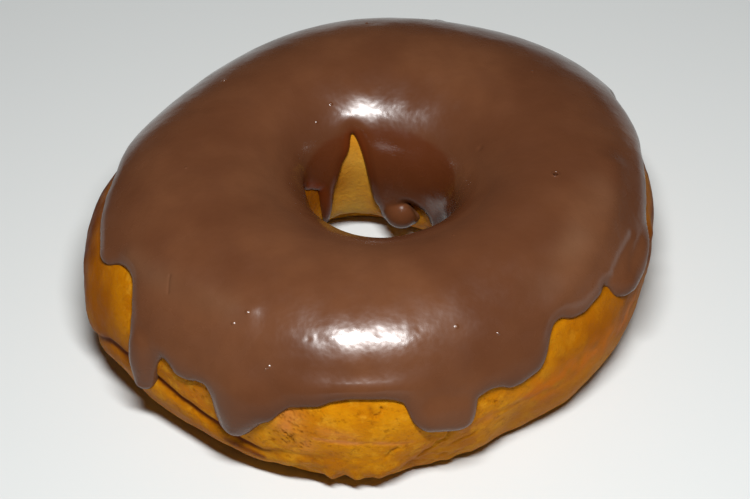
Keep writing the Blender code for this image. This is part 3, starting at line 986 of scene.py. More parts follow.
    def depth(self, azimuth: Array, reach: Array) -> tuple[Array, Array, Array]:
        """Distance in from the edge, and the direction along the surface in which it grows.

        Args:
            azimuth: Azimuths in radians.
            reach: Reaches in metres.

        Returns:
            The distance in metres, and the direction's parts round the ring and along the reach.
        """
        tree, shore_azimuth, shore_reach = self.shore()
        places = RING.round_surface(azimuth, RING.angle_at(reach))
        nearest = [tree.find(place)[1:] for place in places]
        index = np.array([one[0] for one in nearest])
        away = np.array([one[1] for one in nearest])
        side = np.where(self.raw_depth(azimuth, reach) > 0.0, 1.0, -1.0)
        turned = azimuth - shore_azimuth[index] + math.pi
        across = (turned % (2.0 * math.pi) - math.pi) * RING.radius_at(reach) * side
        along = (reach - shore_reach[index]) * side
        length = np.maximum(np.hypot(across, along), LEAST_LENGTH)
        return away * side, across / length, along / length

    def target(self, azimuth: Array, reach: Array) -> Array:
        """Edge length that the icing needs.

        Args:
            azimuth: Azimuths in radians.
            reach: Reaches in metres.

        Returns:
            The length in metres at each place.
        """
        mesh = self.mesh
        depth, _, _ = self.depth(azimuth, reach)
        wanted = np.where(depth < mesh.slope_depth, mesh.slope, mesh.field)
        wanted = np.where(depth < mesh.rim_depth, mesh.rim, wanted)
        wanted = np.where(depth < mesh.bare_depth, mesh.bare, wanted)
        for mark in self.marks:
            near = distance_to(azimuth, reach, (mark.azimuth, mark.reach))
            near = near < mesh.mark_radii * mark.radius
            wanted = np.where(near, np.minimum(wanted, mesh.mark), wanted)
        for groove in self.scratches:
            near = distance_to_line(azimuth, reach, groove.path)
            near = near < mesh.scratch_widths * groove.half_width
            wanted = np.where(near, mesh.scratch_share * groove.half_width, wanted)
        near = distance_to(azimuth, reach, self.blob) < mesh.blob_radii * self.blob_radius
        return np.where(near, mesh.blob, wanted)

    def film(self, azimuth: Array, reach: Array, spots: tuple[Swell, ...]) -> Array:
        """How far the coat ran out to a film.

        Args:
            azimuth: Azimuths in radians.
            reach: Reaches in metres.
            spots: The places where it ran out.

        Returns:
            The share of thickness that is missing, from 0 to the most that a film lacks.
        """
        total = np.zeros(len(azimuth))
        for one in spots:
            total += one.at(azimuth, reach)
        return np.clip(total, 0.0, self.film_most)

    def rise(self, azimuth: Array, reach: Array, depth: Array, points: Array) -> Array:
        """Height of the coat's upper face over the dough, without the fall at the rim.

        Args:
            azimuth: Azimuths in radians.
            reach: Reaches in metres.
            depth: Distances in from the edge in metres.
            points: The places in space, for the unevenness.

        Returns:
            The height in metres.
        """
        body = (self.thickness - self.rim_thickness) * step(depth, *self.body_rise)
        gathered = np.zeros(len(azimuth))
        for run in self.runs:
            gathered = np.maximum(gathered, run.rise(azimuth, reach))
        uneven = sum(ripple.at(points) for ripple in self.ripples)
        marks, _ = mark_relief(azimuth, reach, self.marks)
        for groove in self.scratches + self.ridges:
            away = distance_to_line(azimuth, reach, groove.path)
            marks -= groove.depth * swell(away, groove.half_width)
        thinned = 1.0 - self.film(azimuth, reach, (self.thin_spot,))
        cover = (self.rim_thickness + body) * thinned + gathered + self.bead.rise(azimuth, reach)
        return cover + step(depth, *self.rippled) * uneven + marks

    def swell_blob(self, points: Array, share: Array) -> Array:
        """Round the icing that gathered low in the hole into a ball.

        Args:
            points: The coat's places in space.
            share: How far each place may move, from 0 to 1.

        Returns:
            The places, those near the middle of the ball pushed out to its surface.
        """
        azimuth = np.radians(np.array([self.blob[0]]))
        angle = RING.angle_at(np.array([self.blob[1]]))
        centre = RING.round_surface(azimuth, angle)
        centre = centre + RING.outward(azimuth, angle) * self.blob_lift
        away = points - centre
        distance = np.maximum(np.linalg.norm(away, axis=1), LEAST_LENGTH) / self.blob_radius
        pushed = (distance**self.blob_power + 1.0) ** (1.0 / self.blob_power)
        return points + away * (share * (pushed / distance - 1.0))[:, None]

    def skin(self) -> tuple[bmesh.types.BMesh, Blank, bmesh.types.BMLayerItem]:
        """The closed skin on the blank ring.

        Returns:
            The mesh, the blank it came from, and a layer that is one on the under side.
        """
        blank = Blank(self.mesh.turns, self.mesh.sides)
        shell = blank.shell()
        under = shell.verts.layers.float.new("under")
        self.drop(shell, blank, self.mesh.first_cut)
        copy = bmesh.ops.duplicate(shell, geom=shell.faces[:])
        below = [item for item in copy["geom"] if isinstance(item, bmesh.types.BMVert)]
        for vertex in below:
            vertex[under] = 1.0
        self.drop(shell, blank, self.mesh.under_cut, under)
        blank.refine(shell, self.target, under, self.mesh.rounds)
        self.drop(shell, blank, self.mesh.last_cut)
        self.close(shell, blank)
        return shell, blank, under

    def drop(self, shell: bmesh.types.BMesh, blank: Blank, least: float,
             only: bmesh.types.BMLayerItem | None = None) -> None:
        """Remove the faces that lie less deep in the coat than a limit.

        Args:
            shell: The mesh.
            blank: The ring by which its vertices are read.
            least: The limit in metres.
            only: Layer that is one on the vertices of the faces that may go, if not all may.
        """
        azimuth, reach = blank.places(shell)
        depth, _, _ = self.depth(azimuth, reach)
        gone = []
        for face in shell.faces:
            corners = [depth[vertex.index] for vertex in face.verts]
            if only is None:
                bare = max(corners) < least
            else:
                bare = min(corners) < least and all(vertex[only] > 0.5 for vertex in face.verts)
            if bare:
                gone.append(face)
        bmesh.ops.delete(shell, geom=gone, context="FACES")
        while True:
            pinched = [vertex for vertex in shell.verts
                       if sum(edge.is_boundary for edge in vertex.link_edges) > 2]
            if not pinched:
                break
            gone = {face for vertex in pinched for face in vertex.link_faces}
            bmesh.ops.delete(shell, geom=list(gone), context="FACES")

    def close(self, shell: bmesh.types.BMesh, blank: Blank) -> None:
        """Join the edges of the upper face to the edges of the under side.

        Args:
            shell: The mesh with both faces.
            blank: The blank it came from.
        """
        _, reach = blank.places(shell)
        for outside in (True, False):
            rims = [edge for edge in shell.edges
                    if edge.is_boundary and (reach[edge.verts[0].index] > 0.0) is outside]
            bmesh.ops.bridge_loops(shell, edges=rims)

    def build(self) -> bpy.types.Object:
        """The finished coat, which stands for the solid of the icing.

        Returns:
            The piece.
        """
        shell, blank, under = self.skin()
        azimuth, reach = blank.places(shell)
        below = np.array([vertex[under] for vertex in shell.verts]) > 0.5
        depth, across, along = self.depth(azimuth, reach)
        share = np.clip(depth / self.rim_width, 0.0, 1.0) * math.pi / 2.0
        moved = np.where(depth < self.rim_width, self.rim_width * (1.0 - np.cos(share)), depth)
        shift = np.clip(moved - depth, -self.rim_shift, self.rim_shift)
        shift = np.where(below, 0.0, shift)
        azimuth = azimuth + shift * across / RING.radius_at(reach)
        reach = reach + shift * along
        angle = RING.angle_at(reach)
        points = RING.round_surface(azimuth, angle)
        rise = self.rise(azimuth, reach, moved, points)
        lift = np.where(depth > 0.0, rise * np.sin(share),
                        np.maximum(self.tuck_slope * depth, -self.tuck))
        lift = np.where(below, -self.tuck, lift)
        fold, _ = RING.fold(azimuth, reach)
        lift += np.maximum(fold, 0.0) + RING.swelling(azimuth, reach)
        points += RING.outward(azimuth, angle) * lift[:, None]
        points = self.swell_blob(points, np.where(below, 0.0, step(depth, *self.blob_rim)))
        traits = self.traits(azimuth, reach, depth, below)
        # the painted sheen comes and goes in patches
        traits["sheen"] = np.clip(traits["sheen"] * self.sheen_mottle.at(points), 0.0, 1.0)
        return finished_piece("icing_coat", shell, points, traits)

    def dress(self, piece: bpy.types.Object) -> None:
        """Give the coat its finish, and bind it to the solid that it stands for."""
        place_piece(piece, "icing", SetIcing("set_icing").make())

    def traits(self, azimuth: Array, reach: Array, depth: Array,
               below: Array) -> dict[str, Array]:
        """What the icing's finish needs to know of each place.

        Args:
            azimuth: Azimuths in radians.
            reach: Reaches in metres.
            depth: Distances in from the edge in metres.
            below: True on the under side.

        Returns:
            The shares, from 0 to 1, of pit, the painted shade in pits; rim, the painted reflection
            on the rim; wall, the painted shade on the hole's wall; film; shade, where the shine is
            dull; and the painted sheen.
        """
        bands = self.bands
        # painted shade inside open pits
        _, pit = mark_relief(azimuth, reach, self.marks)
        # painted reflection: a greyer line along the rounded rim, none where the coat is a film
        rim = np.where(below, 0.0, 1.0 - step(depth, *bands.rim))
        from_blob = distance_to(azimuth, reach, self.blob)
        # painted shade on the hole's wall, which gives way round the blob
        past = -reach - smooth_line(self.wall_shade_from, azimuth)
        wall = np.where(below, 0.0, step(past, *bands.wall))
        wall = wall * (1.0 - bands.blob_wall_share * swell(from_blob, bands.blob_wall))
        film = self.film(azimuth, reach, self.films) * (1.0 - step(depth, *bands.film))
        shade = np.maximum(1.0 - step(depth, *bands.dull_rim), step(reach, *bands.dull_side))
        shade = np.maximum(shade, bands.dull_hole_share * step(-reach, *bands.dull_hole))
        lining = step(-reach, *bands.lining) * (1.0 - step(depth, *bands.lining_rim))
        shade = np.maximum(shade, lining)
        near = bands.blob_dull_share * swell(from_blob, bands.blob_dull)
        shade = np.maximum(shade, np.clip(near, 0.0, 1.0))
        # painted sheen along its streaks, only on the upper face
        sheen = np.where(below, 0.0, streak_share(azimuth, reach, self.sheen_streaks))
        return {"pit": pit, "rim": rim * (1.0 - film), "wall": wall, "film": film,
                "shade": shade, "sheen": sheen}


@dataclass(frozen=True)
class PoreField:
    """Small open pores: how many, how large in metres, how deep in shares of that, and where."""

    count: int
    reach: Band
    size: Band
    depth_share: float
    azimuth: float = 0.0
    spread: float | None = None          # degrees, or none for pores all round

    def draw(self, chance: np.random.Generator) -> list[Mark]:
        """The pores, drawn one after another.

        Args:
            chance: Where the random numbers come from.

        Returns:
            The pores.
        """
        made = []
        for _ in range(self.count):
            if self.spread is None:
                azimuth = chance.uniform(0.0, 360.0)
            else:
                azimuth = chance.normal(self.azimuth, self.spread)
            reach = chance.uniform(*self.reach)
            size = chance.uniform(*self.size)
            made.append(Mark(Kind.PIT, azimuth, reach, size, size * self.depth_share))
        return made


@dataclass(frozen=True)
class CrustMesh:
    """How fine the crust's mesh is: edge lengths in metres, and where each one holds."""

    turns: int = 240
    sides: int = 80
    rounds: int = 5
    front: Band = (192.0, 352.0)
    front_length: float = 0.00040
    back_length: float = 0.00062
    side: Band = (0.0180, 0.0415)
    side_length: float = 0.00031
    foot_reach: float = 0.0450
    foot_length: float = 0.0016
    hidden_depth: float = 0.0010
    hidden_length: float = 0.0024


FRONT_SEAM: tuple[Place, ...] = (     # the shallow pale crack across the front
    (255.6, 0.0270), (261.6, 0.0275), (266.4, 0.0279), (272.4, 0.0291), (274.8, 0.0292))


@dataclass(frozen=True)
class DoughRing:
    """The fried ring: a smooth top under the icing and an uneven crust where it is bare.

    Its relief is the fold and swells of the ring's form with lumps, grain, a ragged foot, cracks,
    pocks and pores. Stains, blushes and bare crumb are streaks of colour; so are toasted and
    scorched places, mixed with painted shade on the darker sides, in the fold and low in the hole.
    Pores and cracks hold painted shade.
    """

    lumps: tuple[Swell, ...] = (
        Swell(265.5, 6.0, 0.0355, 0.0030, 0.0005), Swell(283.0, 7.0, 0.0300, 0.0035, 0.0003),
        Swell(300.0, 9.0, 0.0262, 0.0030, 0.0003), Swell(318.0, 9.0, 0.0245, 0.0030, 0.0003),
        Swell(248.0, 5.0, 0.0262, 0.0040, 0.0003), Swell(351.5, 2.6, 0.0222, 0.0016, 0.0006),
        Swell(192.0, 6.0, 0.0215, 0.0040, 0.0004), Swell(20.0, 7.0, 0.0290, 0.0040, 0.0004),
        Swell(88.0, 9.0, 0.0300, 0.0050, 0.0004), Swell(140.0, 8.0, 0.0290, 0.0045, 0.0004),
        Swell(114.0, 30.0, -0.0392, 0.0036, -0.0022),
        Swell(258.2, 1.3, 0.0374, 0.0024, 0.0009), Swell(268.5, 5.0, 0.0376, 0.0024, 0.0007),
        Swell(275.5, 2.4, 0.0376, 0.0026, -0.0010), Swell(247.0, 4.0, 0.0385, 0.0024, -0.0004),
        Swell(251.6, 1.6, 0.0374, 0.0022, -0.0006), Swell(263.2, 1.1, 0.0374, 0.0020, 0.0005),
        Swell(291.0, 2.6, 0.0368, 0.0022, 0.0003), Swell(299.0, 2.4, 0.0366, 0.0022, -0.0002))
    cracks: tuple[Groove, ...] = (
        Groove(((269.6, 0.0320), (270.4, 0.0307), (272.0, 0.0302)), 0.00026, 0.00040),
        Groove(((276.4, 0.0353), (277.6, 0.0339), (279.2, 0.0328), (280.4, 0.0311),
                (282.0, 0.0307), (282.8, 0.0286)), 0.00028, 0.00044),
        Groove(((284.0, 0.0330), (286.4, 0.0318), (289.0, 0.0312)), 0.00030, 0.00028),
        Groove(FRONT_SEAM, 0.00022, 0.00012),
        Groove(((266.6, 0.0212), (267.2, 0.0222), (268.2, 0.0225), (269.0, 0.0217),
                (268.8, 0.0210)), 0.00026, 0.00044),
        Groove(((288.0, 0.0292), (294.0, 0.0288), (301.0, 0.0290), (308.0, 0.0296)),
               0.00060, 0.00008),
        Groove(((22.0, 0.0262), (27.0, 0.0281), (34.0, 0.0286), (43.0, 0.0279)),
               0.00050, 0.00040),
        Groove(((118.0, 0.0250), (124.0, 0.0262), (131.0, 0.0258)), 0.00050, 0.00040),
        Groove(((60.0, 0.0300), (72.0, 0.0312), (84.0, 0.0306), (99.0, 0.0317)),
               0.00070, 0.00050),
        Groove(((150.0, 0.0300), (160.0, 0.0292), (171.0, 0.0303)), 0.00065, 0.00050))
    pocks: tuple[Mark, ...] = (
        Mark(Kind.PIT, 266.6, 0.0222, 0.00034, 0.00036),
        Mark(Kind.PIT, 268.9, 0.0213, 0.00034, 0.00036),
        Mark(Kind.PIT, 267.8, 0.0226, 0.00030, 0.00030),
        Mark(Kind.DIMPLE, 267.8, 0.0218, 0.00100, 0.00014),
        Mark(Kind.PIT, 293.5, 0.0258, 0.00040, 0.00030),
        Mark(Kind.DIMPLE, 263.6, 0.0318, 0.00080, 0.00020),
        Mark(Kind.PIT, 229.4, 0.0250, 0.00030, 0.00020),
        Mark(Kind.PIT, 20.0, 0.0230, 0.00040, 0.00030),
        Mark(Kind.PIT, 62.0, 0.0252, 0.00036, 0.00030),
        Mark(Kind.PIT, 118.0, 0.0222, 0.00040, 0.00030),
        Mark(Kind.PIT, 163.0, 0.0226, 0.00034, 0.00026))
    streaks: tuple[Streak, ...] = (
        Streak(((290.8, 0.0279), (298.0, 0.0290), (302.4, 0.0275)), 0.0008, 0.55),
        Streak(((302.4, 0.0273), (307.6, 0.0283), (312.4, 0.0283), (316.4, 0.0290),
                (320.4, 0.0283), (324.0, 0.0279)), 0.0028, 1.25),
        Streak(((324.0, 0.0279), (329.2, 0.0286), (334.0, 0.0290), (337.6, 0.0275)),
               0.0015, 0.85),
        Streak(((226.4, 0.0262), (230.0, 0.0268), (234.0, 0.0282)), 0.0009, 0.45),
        Streak(((18.0, 0.0262), (30.0, 0.0268), (44.0, 0.0262)), 0.0014, 0.8),
        Streak(((108.0, 0.0250), (120.0, 0.0258), (134.0, 0.0248)), 0.0013, 0.7))
    blushes: tuple[Streak, ...] = (
        Streak(((250.8, 0.0218), (250.6, 0.0250), (252.4, 0.0290)), 0.0021, 0.85),
        Streak(FRONT_SEAM, 0.0004, 1.0),
        Streak(((257.0, 0.0252), (263.0, 0.0262)), 0.0012, 0.35),
        Streak(((285.6, 0.0292), (292.0, 0.0290)), 0.0008, 0.7),
        Streak(((58.0, 0.0262), (70.0, 0.0270)), 0.0016, 0.6))
    # toasted places, mostly painted shade on the sides that turn from the light, low on the front
    # and on the hole's wall
    toast_and_shade_streaks: tuple[Streak, ...] = (
        Streak(((160.0, 0.0160), (185.0, 0.0200), (200.0, 0.0230), (205.0, 0.0270)), 0.0085, 1.20),
        Streak(((338.0, 0.0230), (326.0, 0.0240), (316.0, 0.0255)), 0.0080, 1.05),
        Streak(((334.0, 0.0310), (318.0, 0.0320), (302.0, 0.0330)), 0.0040, 0.55),
        Streak(((334.0, 0.0260), (348.0, 0.0245), (364.0, 0.0235), (374.0, 0.0232)), 0.0085, 1.20),
        Streak(((200.0, 0.0330), (212.0, 0.0345), (226.0, 0.0350), (238.0, 0.0360)), 0.0030, 0.75),
        Streak(((138.0, -0.0240), (150.0, -0.0270), (164.0, -0.0300)), 0.0060, 1.20))
    # scorched places mixed with painted shade on the darker sides and at the foot in the hole; the
    # last streak is painted shade along the fold
    burn_and_shade: tuple[Streak, ...] = (
        Streak(((150.0, 0.0185), (170.0, 0.0200), (182.0, 0.0200), (190.0, 0.0225)), 0.0060, 1.05),
        Streak(((180.0, 0.0250), (188.0, 0.0285), (197.0, 0.0305)), 0.0030, 0.60),
        Streak(((344.0, 0.0240), (360.0, 0.0228), (374.0, 0.0222)), 0.0050, 0.80),
        Streak(((92.0, -0.0388), (104.0, -0.0390), (118.0, -0.0391), (136.0, -0.0388)),
               0.0026, 1.3),
        Streak(((236.0, 0.0335), (240.0, 0.0345), (244.0, 0.0352)), 0.0010, 0.9),
        Streak(RING.fold_line, 0.0019, 0.66))
    crumbs: tuple[Streak, ...] = (
        Streak(((110.0, -0.0215), (113.0, -0.0290), (113.0, -0.0345)), 0.0048, 0.75),)
    pore_seed: int = 7
    pore_fields: tuple[PoreField, ...] = (
        PoreField(110, (0.0212, 0.0296), (0.00012, 0.00028), 0.8, 251.2, 2.3),
        PoreField(150, (0.0190, 0.0360), (0.00012, 0.00026), 0.6))
    unevenness: tuple[Mottle, ...] = (
        Mottle(0.0, 0.00021, 0.0060, 21), Mottle(0.0, 0.0001155, 0.0026, 22),
        Mottle(0.0, 0.000065, 0.0011, 23, rough=True))
    ragging: Mottle = Mottle(0.0, 0.00062, 0.0022, 24, rough=True)
    ragged_from: Band = (244.0, 256.0)   # degrees between which the ragged front foot sets in
    ragged_to: Band = (280.0, 300.0)     # and ends
    ragged_reach: float = 0.0374
    ragged_width: float = 0.0040
    ragged_hole: Swell = Swell(114.0, 26.0, -0.0385, 0.0030, 1.0)
    crack_bend: Mottle = Mottle(0.0, 0.00030, 0.0013, 29)
    crack_width: Mottle = Mottle(1.0, 0.4, 0.0012, 25)
    crack_shade: float = 0.7              # painted shade in a crack: how dark it is, and over what share of its width
    crack_core: float = 0.8
    patchy: Mottle = Mottle(0.65, 0.6, 0.0022, 26)
    even: Mottle = Mottle(0.85, 0.25, 0.0030, 28)
    torn: Mottle = Mottle(0.62, 0.9, 0.0017, 30)
    mesh: CrustMesh = CrustMesh()
    hidden: Band = (0.0004, 0.0014)      # depths under the icing between which the dough is sunk
    hidden_sink: float = 0.0002
    foot_height: float = 0.0006
    foot_lift: Mottle = Mottle(0.00006, 0.00006, 0.0016, 27)

    @lru_cache(maxsize=None)
    def pores(self) -> tuple[Mark, ...]:
        """Small open pores: a close patch on the front, and single ones all round.

        Returns:
            The pores.
        """
        chance = np.random.default_rng(self.pore_seed)
        return tuple(pore for field in self.pore_fields for pore in field.draw(chance))

    def target(self, azimuth: Array, reach: Array) -> Array:
        """Edge length that the crust needs.

        Args:
            azimuth: Azimuths in radians.
            reach: Reaches in metres.

        Returns:
            The length in metres at each place.
        """
        mesh = self.mesh
        depth = COAT.raw_depth(azimuth, reach)
        degrees = np.degrees(azimuth) % 360.0
        front = (degrees > mesh.front[0]) & (degrees < mesh.front[1])
        side = front & (reach > mesh.side[0]) & (reach < mesh.side[1])
        wanted = np.where(front, mesh.front_length, mesh.back_length)
        wanted = np.where(side, mesh.side_length, wanted)
        wanted = np.where(np.abs(reach) > mesh.foot_reach, mesh.foot_length, wanted)
        return np.where(depth > mesh.hidden_depth, mesh.hidden_length, wanted)

    def relief(self, azimuth: Array, reach: Array,
               points: Array) -> tuple[Array, dict[str, Array]]:
        """Relief of the crust and what its finish needs to know of it.

        Args:
            azimuth: Azimuths in radians.
            reach: Reaches in metres.
            points: The places in space.

        Returns:
            The relief outward in metres, and the shares of each of the crust's colours.
        """
        fold, inside = RING.fold(azimuth, reach)
        out = fold + RING.swelling(azimuth, reach)
        for one in self.lumps:
            out += one.at(azimuth, reach)
        for uneven in self.unevenness:
            out += uneven.at(points)
        degrees = np.degrees(azimuth) % 360.0
        ragged = step(degrees, *self.ragged_from) * (1.0 - step(degrees, *self.ragged_to))
        ragged *= swell(reach - self.ragged_reach, self.ragged_width)
        ragged += self.ragged_hole.at(azimuth, reach)
        out += ragged * self.ragging.at(points)
        pore = np.zeros(len(azimuth))
        bent = reach + self.crack_bend.at(points)
        width = self.crack_width.at(points)
        for crack in self.cracks:
            away = distance_to_line(azimuth, bent, crack.path) * width
            out -= crack.depth * swell(away, crack.half_width)
            # painted shade along the core of each crack
            dark = self.crack_shade * swell(away, crack.half_width * self.crack_core)
            pore = np.maximum(pore, dark)
        dents, hollow = mark_relief(azimuth, reach, self.pocks + self.pores())
        # painted shade in the fold, and in cracks, pocks and pores
        traits = {"fold": inside, "pore": np.maximum(pore, hollow)}
        patchy, even, torn = (one.at(points) for one in (self.patchy, self.even, self.torn))
        # toast and fold carry painted shade as well as toasting and scorching
        colours = (("stain", self.streaks, torn), ("blush", self.blushes, patchy),
                   ("toast_and_shade", self.toast_and_shade_streaks, even), ("crumb", self.crumbs, even),
                   ("fold", self.burn_and_shade, even))
        for name, streaks, mottle in colours:
            share = streak_share(azimuth, reach, streaks) * mottle
            share = np.maximum(share, traits.get(name, 0.0))
            traits[name] = np.clip(share, 0.0, 1.0)
        return out + dents, traits

    def build(self) -> bpy.types.Object:
        """The finished ring, which stands for the solid of the dough.

        Returns:
            The piece.
        """
        blank = Blank(self.mesh.turns, self.mesh.sides)
        shell = blank.shell()
        blank.refine(shell, self.target, None, self.mesh.rounds)
        azimuth, reach = blank.places(shell)
        angle = RING.angle_at(reach)
        points = RING.round_surface(azimuth, angle)
        out, traits = self.relief(azimuth, reach, points)
        out = out - self.hidden_sink * step(COAT.raw_depth(azimuth, reach), *self.hidden)
        points += RING.outward(azimuth, angle) * out[:, None]
        foot = 1.0 - step(points[:, 2], 0.0, self.foot_height)
        points[:, 2] = np.maximum(points[:, 2], 0.0) + foot * self.foot_lift.at(points)
        points[:, 2] -= min(points[:, 2].min(), 0.0)
        return finished_piece("dough_ring", shell, points, traits)

    def dress(self, piece: bpy.types.Object) -> None:
        """Give the ring its finish, and bind it to the solid that it stands for."""
        place_piece(piece, "dough", FriedCrust("fried_crust").make())


COAT = IcingCoat()


def linear(hex_code: str) -> tuple[float, float, float, float]:
    """Linear colour of an sRGB hex code, by the sRGB standard's own numbers.

    Args:
        hex_code: The code, a hash sign and six digits.

    Returns:
        Red, green, blue and an alpha of one.
    """
    parts = [int(hex_code[start:start + 2], 16) / 255.0 for start in (1, 3, 5)]
    parts = [part / 12.92 if part <= 0.04045 else ((part + 0.055) / 1.055) ** 2.4
             for part in parts]
    return (parts[0], parts[1], parts[2], 1.0)


def add_node(tree: bpy.types.NodeTree, kind: str, settings: dict[str, object] | None = None,
             inputs: dict[str | int, object] | None = None) -> bpy.types.Node:
    """Add a node to a material.

    Args:
        tree: The material's node tree.
        kind: Type of the node.
        settings: Its attributes.
        inputs: Values for its sockets, or the sockets that they are linked from.

    Returns:
        The node.
    """
    node = tree.nodes.new(kind)
    for name, value in (settings or {}).items():
        setattr(node, name, value)
    for name, value in (inputs or {}).items():
        if isinstance(value, bpy.types.NodeSocket):
            tree.links.new(value, node.inputs[name])
        else:
            node.inputs[name].default_value = value
    return node


@dataclass(frozen=True)
class Patches:
    """Uneven patches in a finish.

    They have a size in millimetres, a count of finer layers and the strength of these, the values
    of the noise between which they show, and how much they show at most.
    """

    size: float
    detail: float
    fineness: float
    shown: Band
    share: float = 1.0


@dataclass(frozen=True)
class Grain:
    """Relief too fine for the mesh, which only the light shows.

    It has a height and a size in millimetres, a strength, and the finer layers that patches have.
    """

    height: float
    strength: float
    size: float
    detail: float
    fineness: float


@dataclass(frozen=True)
class Finish:
    """What every finish of the doughnut shares: its first nodes, patches, tones and grain."""

    name: str

    def start(self) -> tuple[bpy.types.Material, bpy.types.NodeTree, bpy.types.Node]:
        """A new material with its node tree.

        Returns:
            The material, its tree and its surface shader.
        """
        material = bpy.data.materials.new(self.name)
        material.use_nodes = True
        return material, material.node_tree, material.node_tree.nodes["Principled BSDF"]

    def uneven(self, tree: bpy.types.NodeTree, patches: Patches,
               between: Band) -> bpy.types.NodeSocket:
        """A value that changes from patch to patch.

        Args:
            tree: The material's node tree.
            patches: The patches.
            between: The value outside them and the value in their middle.

        Returns:
            The socket of the value.
        """
        place = add_node(tree, "ShaderNodeTexCoord").outputs["Object"]
        noise = add_node(tree, "ShaderNodeTexNoise", inputs={
            "Vector": place, "Scale": MM_PER_METRE / patches.size, "Detail": patches.detail,
            "Roughness": patches.fineness})
        made = add_node(tree, "ShaderNodeMapRange", {"interpolation_type": "SMOOTHSTEP"}, {
            "Value": noise.outputs["Fac"],
            "From Min": patches.shown[0], "From Max": patches.shown[1],
            "To Min": between[0], "To Max": between[1]})
        return made.outputs["Result"]

    def dapple(self, tree: bpy.types.NodeTree, patches: Patches,
               colour: bpy.types.NodeSocket | tuple[float, ...],
               tone: str) -> bpy.types.NodeSocket:
        """Lay patches of a tone over a colour.

        Args:
            tree: The material's node tree.
            patches: The patches.
            colour: The colour under them.
            tone: Their own colour, as a hex code.

        Returns:
            The socket of the colour.
        """
        share = self.uneven(tree, patches, (0.0, patches.share))
        return add_node(tree, "ShaderNodeMix", {"data_type": "RGBA"},
                        {0: share, 6: colour, 7: linear(tone)}).outputs[2]

    def tint(self, tree: bpy.types.NodeTree, colour: bpy.types.NodeSocket,
             layers: tuple[tuple[str, float, str], ...]) -> bpy.types.NodeSocket:
        """Lay tones over a colour as far as the traits of the piece say.

        Args:
            tree: The material's node tree.
            colour: The colour under them.
            layers: Name of the trait, how much it shows at most, and its tone, for each layer.

        Returns:
            The socket of the colour.
        """
        for name, most, tone in layers:
            trait = add_node(tree, "ShaderNodeAttribute", {"attribute_name": name})
            share = add_node(tree, "ShaderNodeMath", {"operation": "MULTIPLY"},
                             {0: trait.outputs["Fac"], 1: most})
            colour = add_node(tree, "ShaderNodeMix", {"data_type": "RGBA"},
                              {0: share.outputs[0], 6: colour, 7: linear(tone)}).outputs[2]
        return colour

    def relief(self, tree: bpy.types.NodeTree, grain: Grain,
               under: bpy.types.NodeSocket | None = None) -> bpy.types.NodeSocket:
        """The normal of a surface with a grain.

        Args:
            tree: The material's node tree.
            grain: The grain.
            under: The normal that it lies over, if it isn't the plain surface's.

        Returns:
            The socket of the normal.
        """
        place = add_node(tree, "ShaderNodeTexCoord").outputs["Object"]
        noise = add_node(tree, "ShaderNodeTexNoise", inputs={
            "Vector": place, "Scale": MM_PER_METRE / grain.size, "Detail": grain.detail,
            "Roughness": grain.fineness})
        inputs = {"Strength": grain.strength, "Distance": grain.height / MM_PER_METRE,
                  "Height": noise.outputs["Fac"]}
        if under is not None:
            inputs["Normal"] = under
        return add_node(tree, "ShaderNodeBump", inputs=inputs).outputs["Normal"]


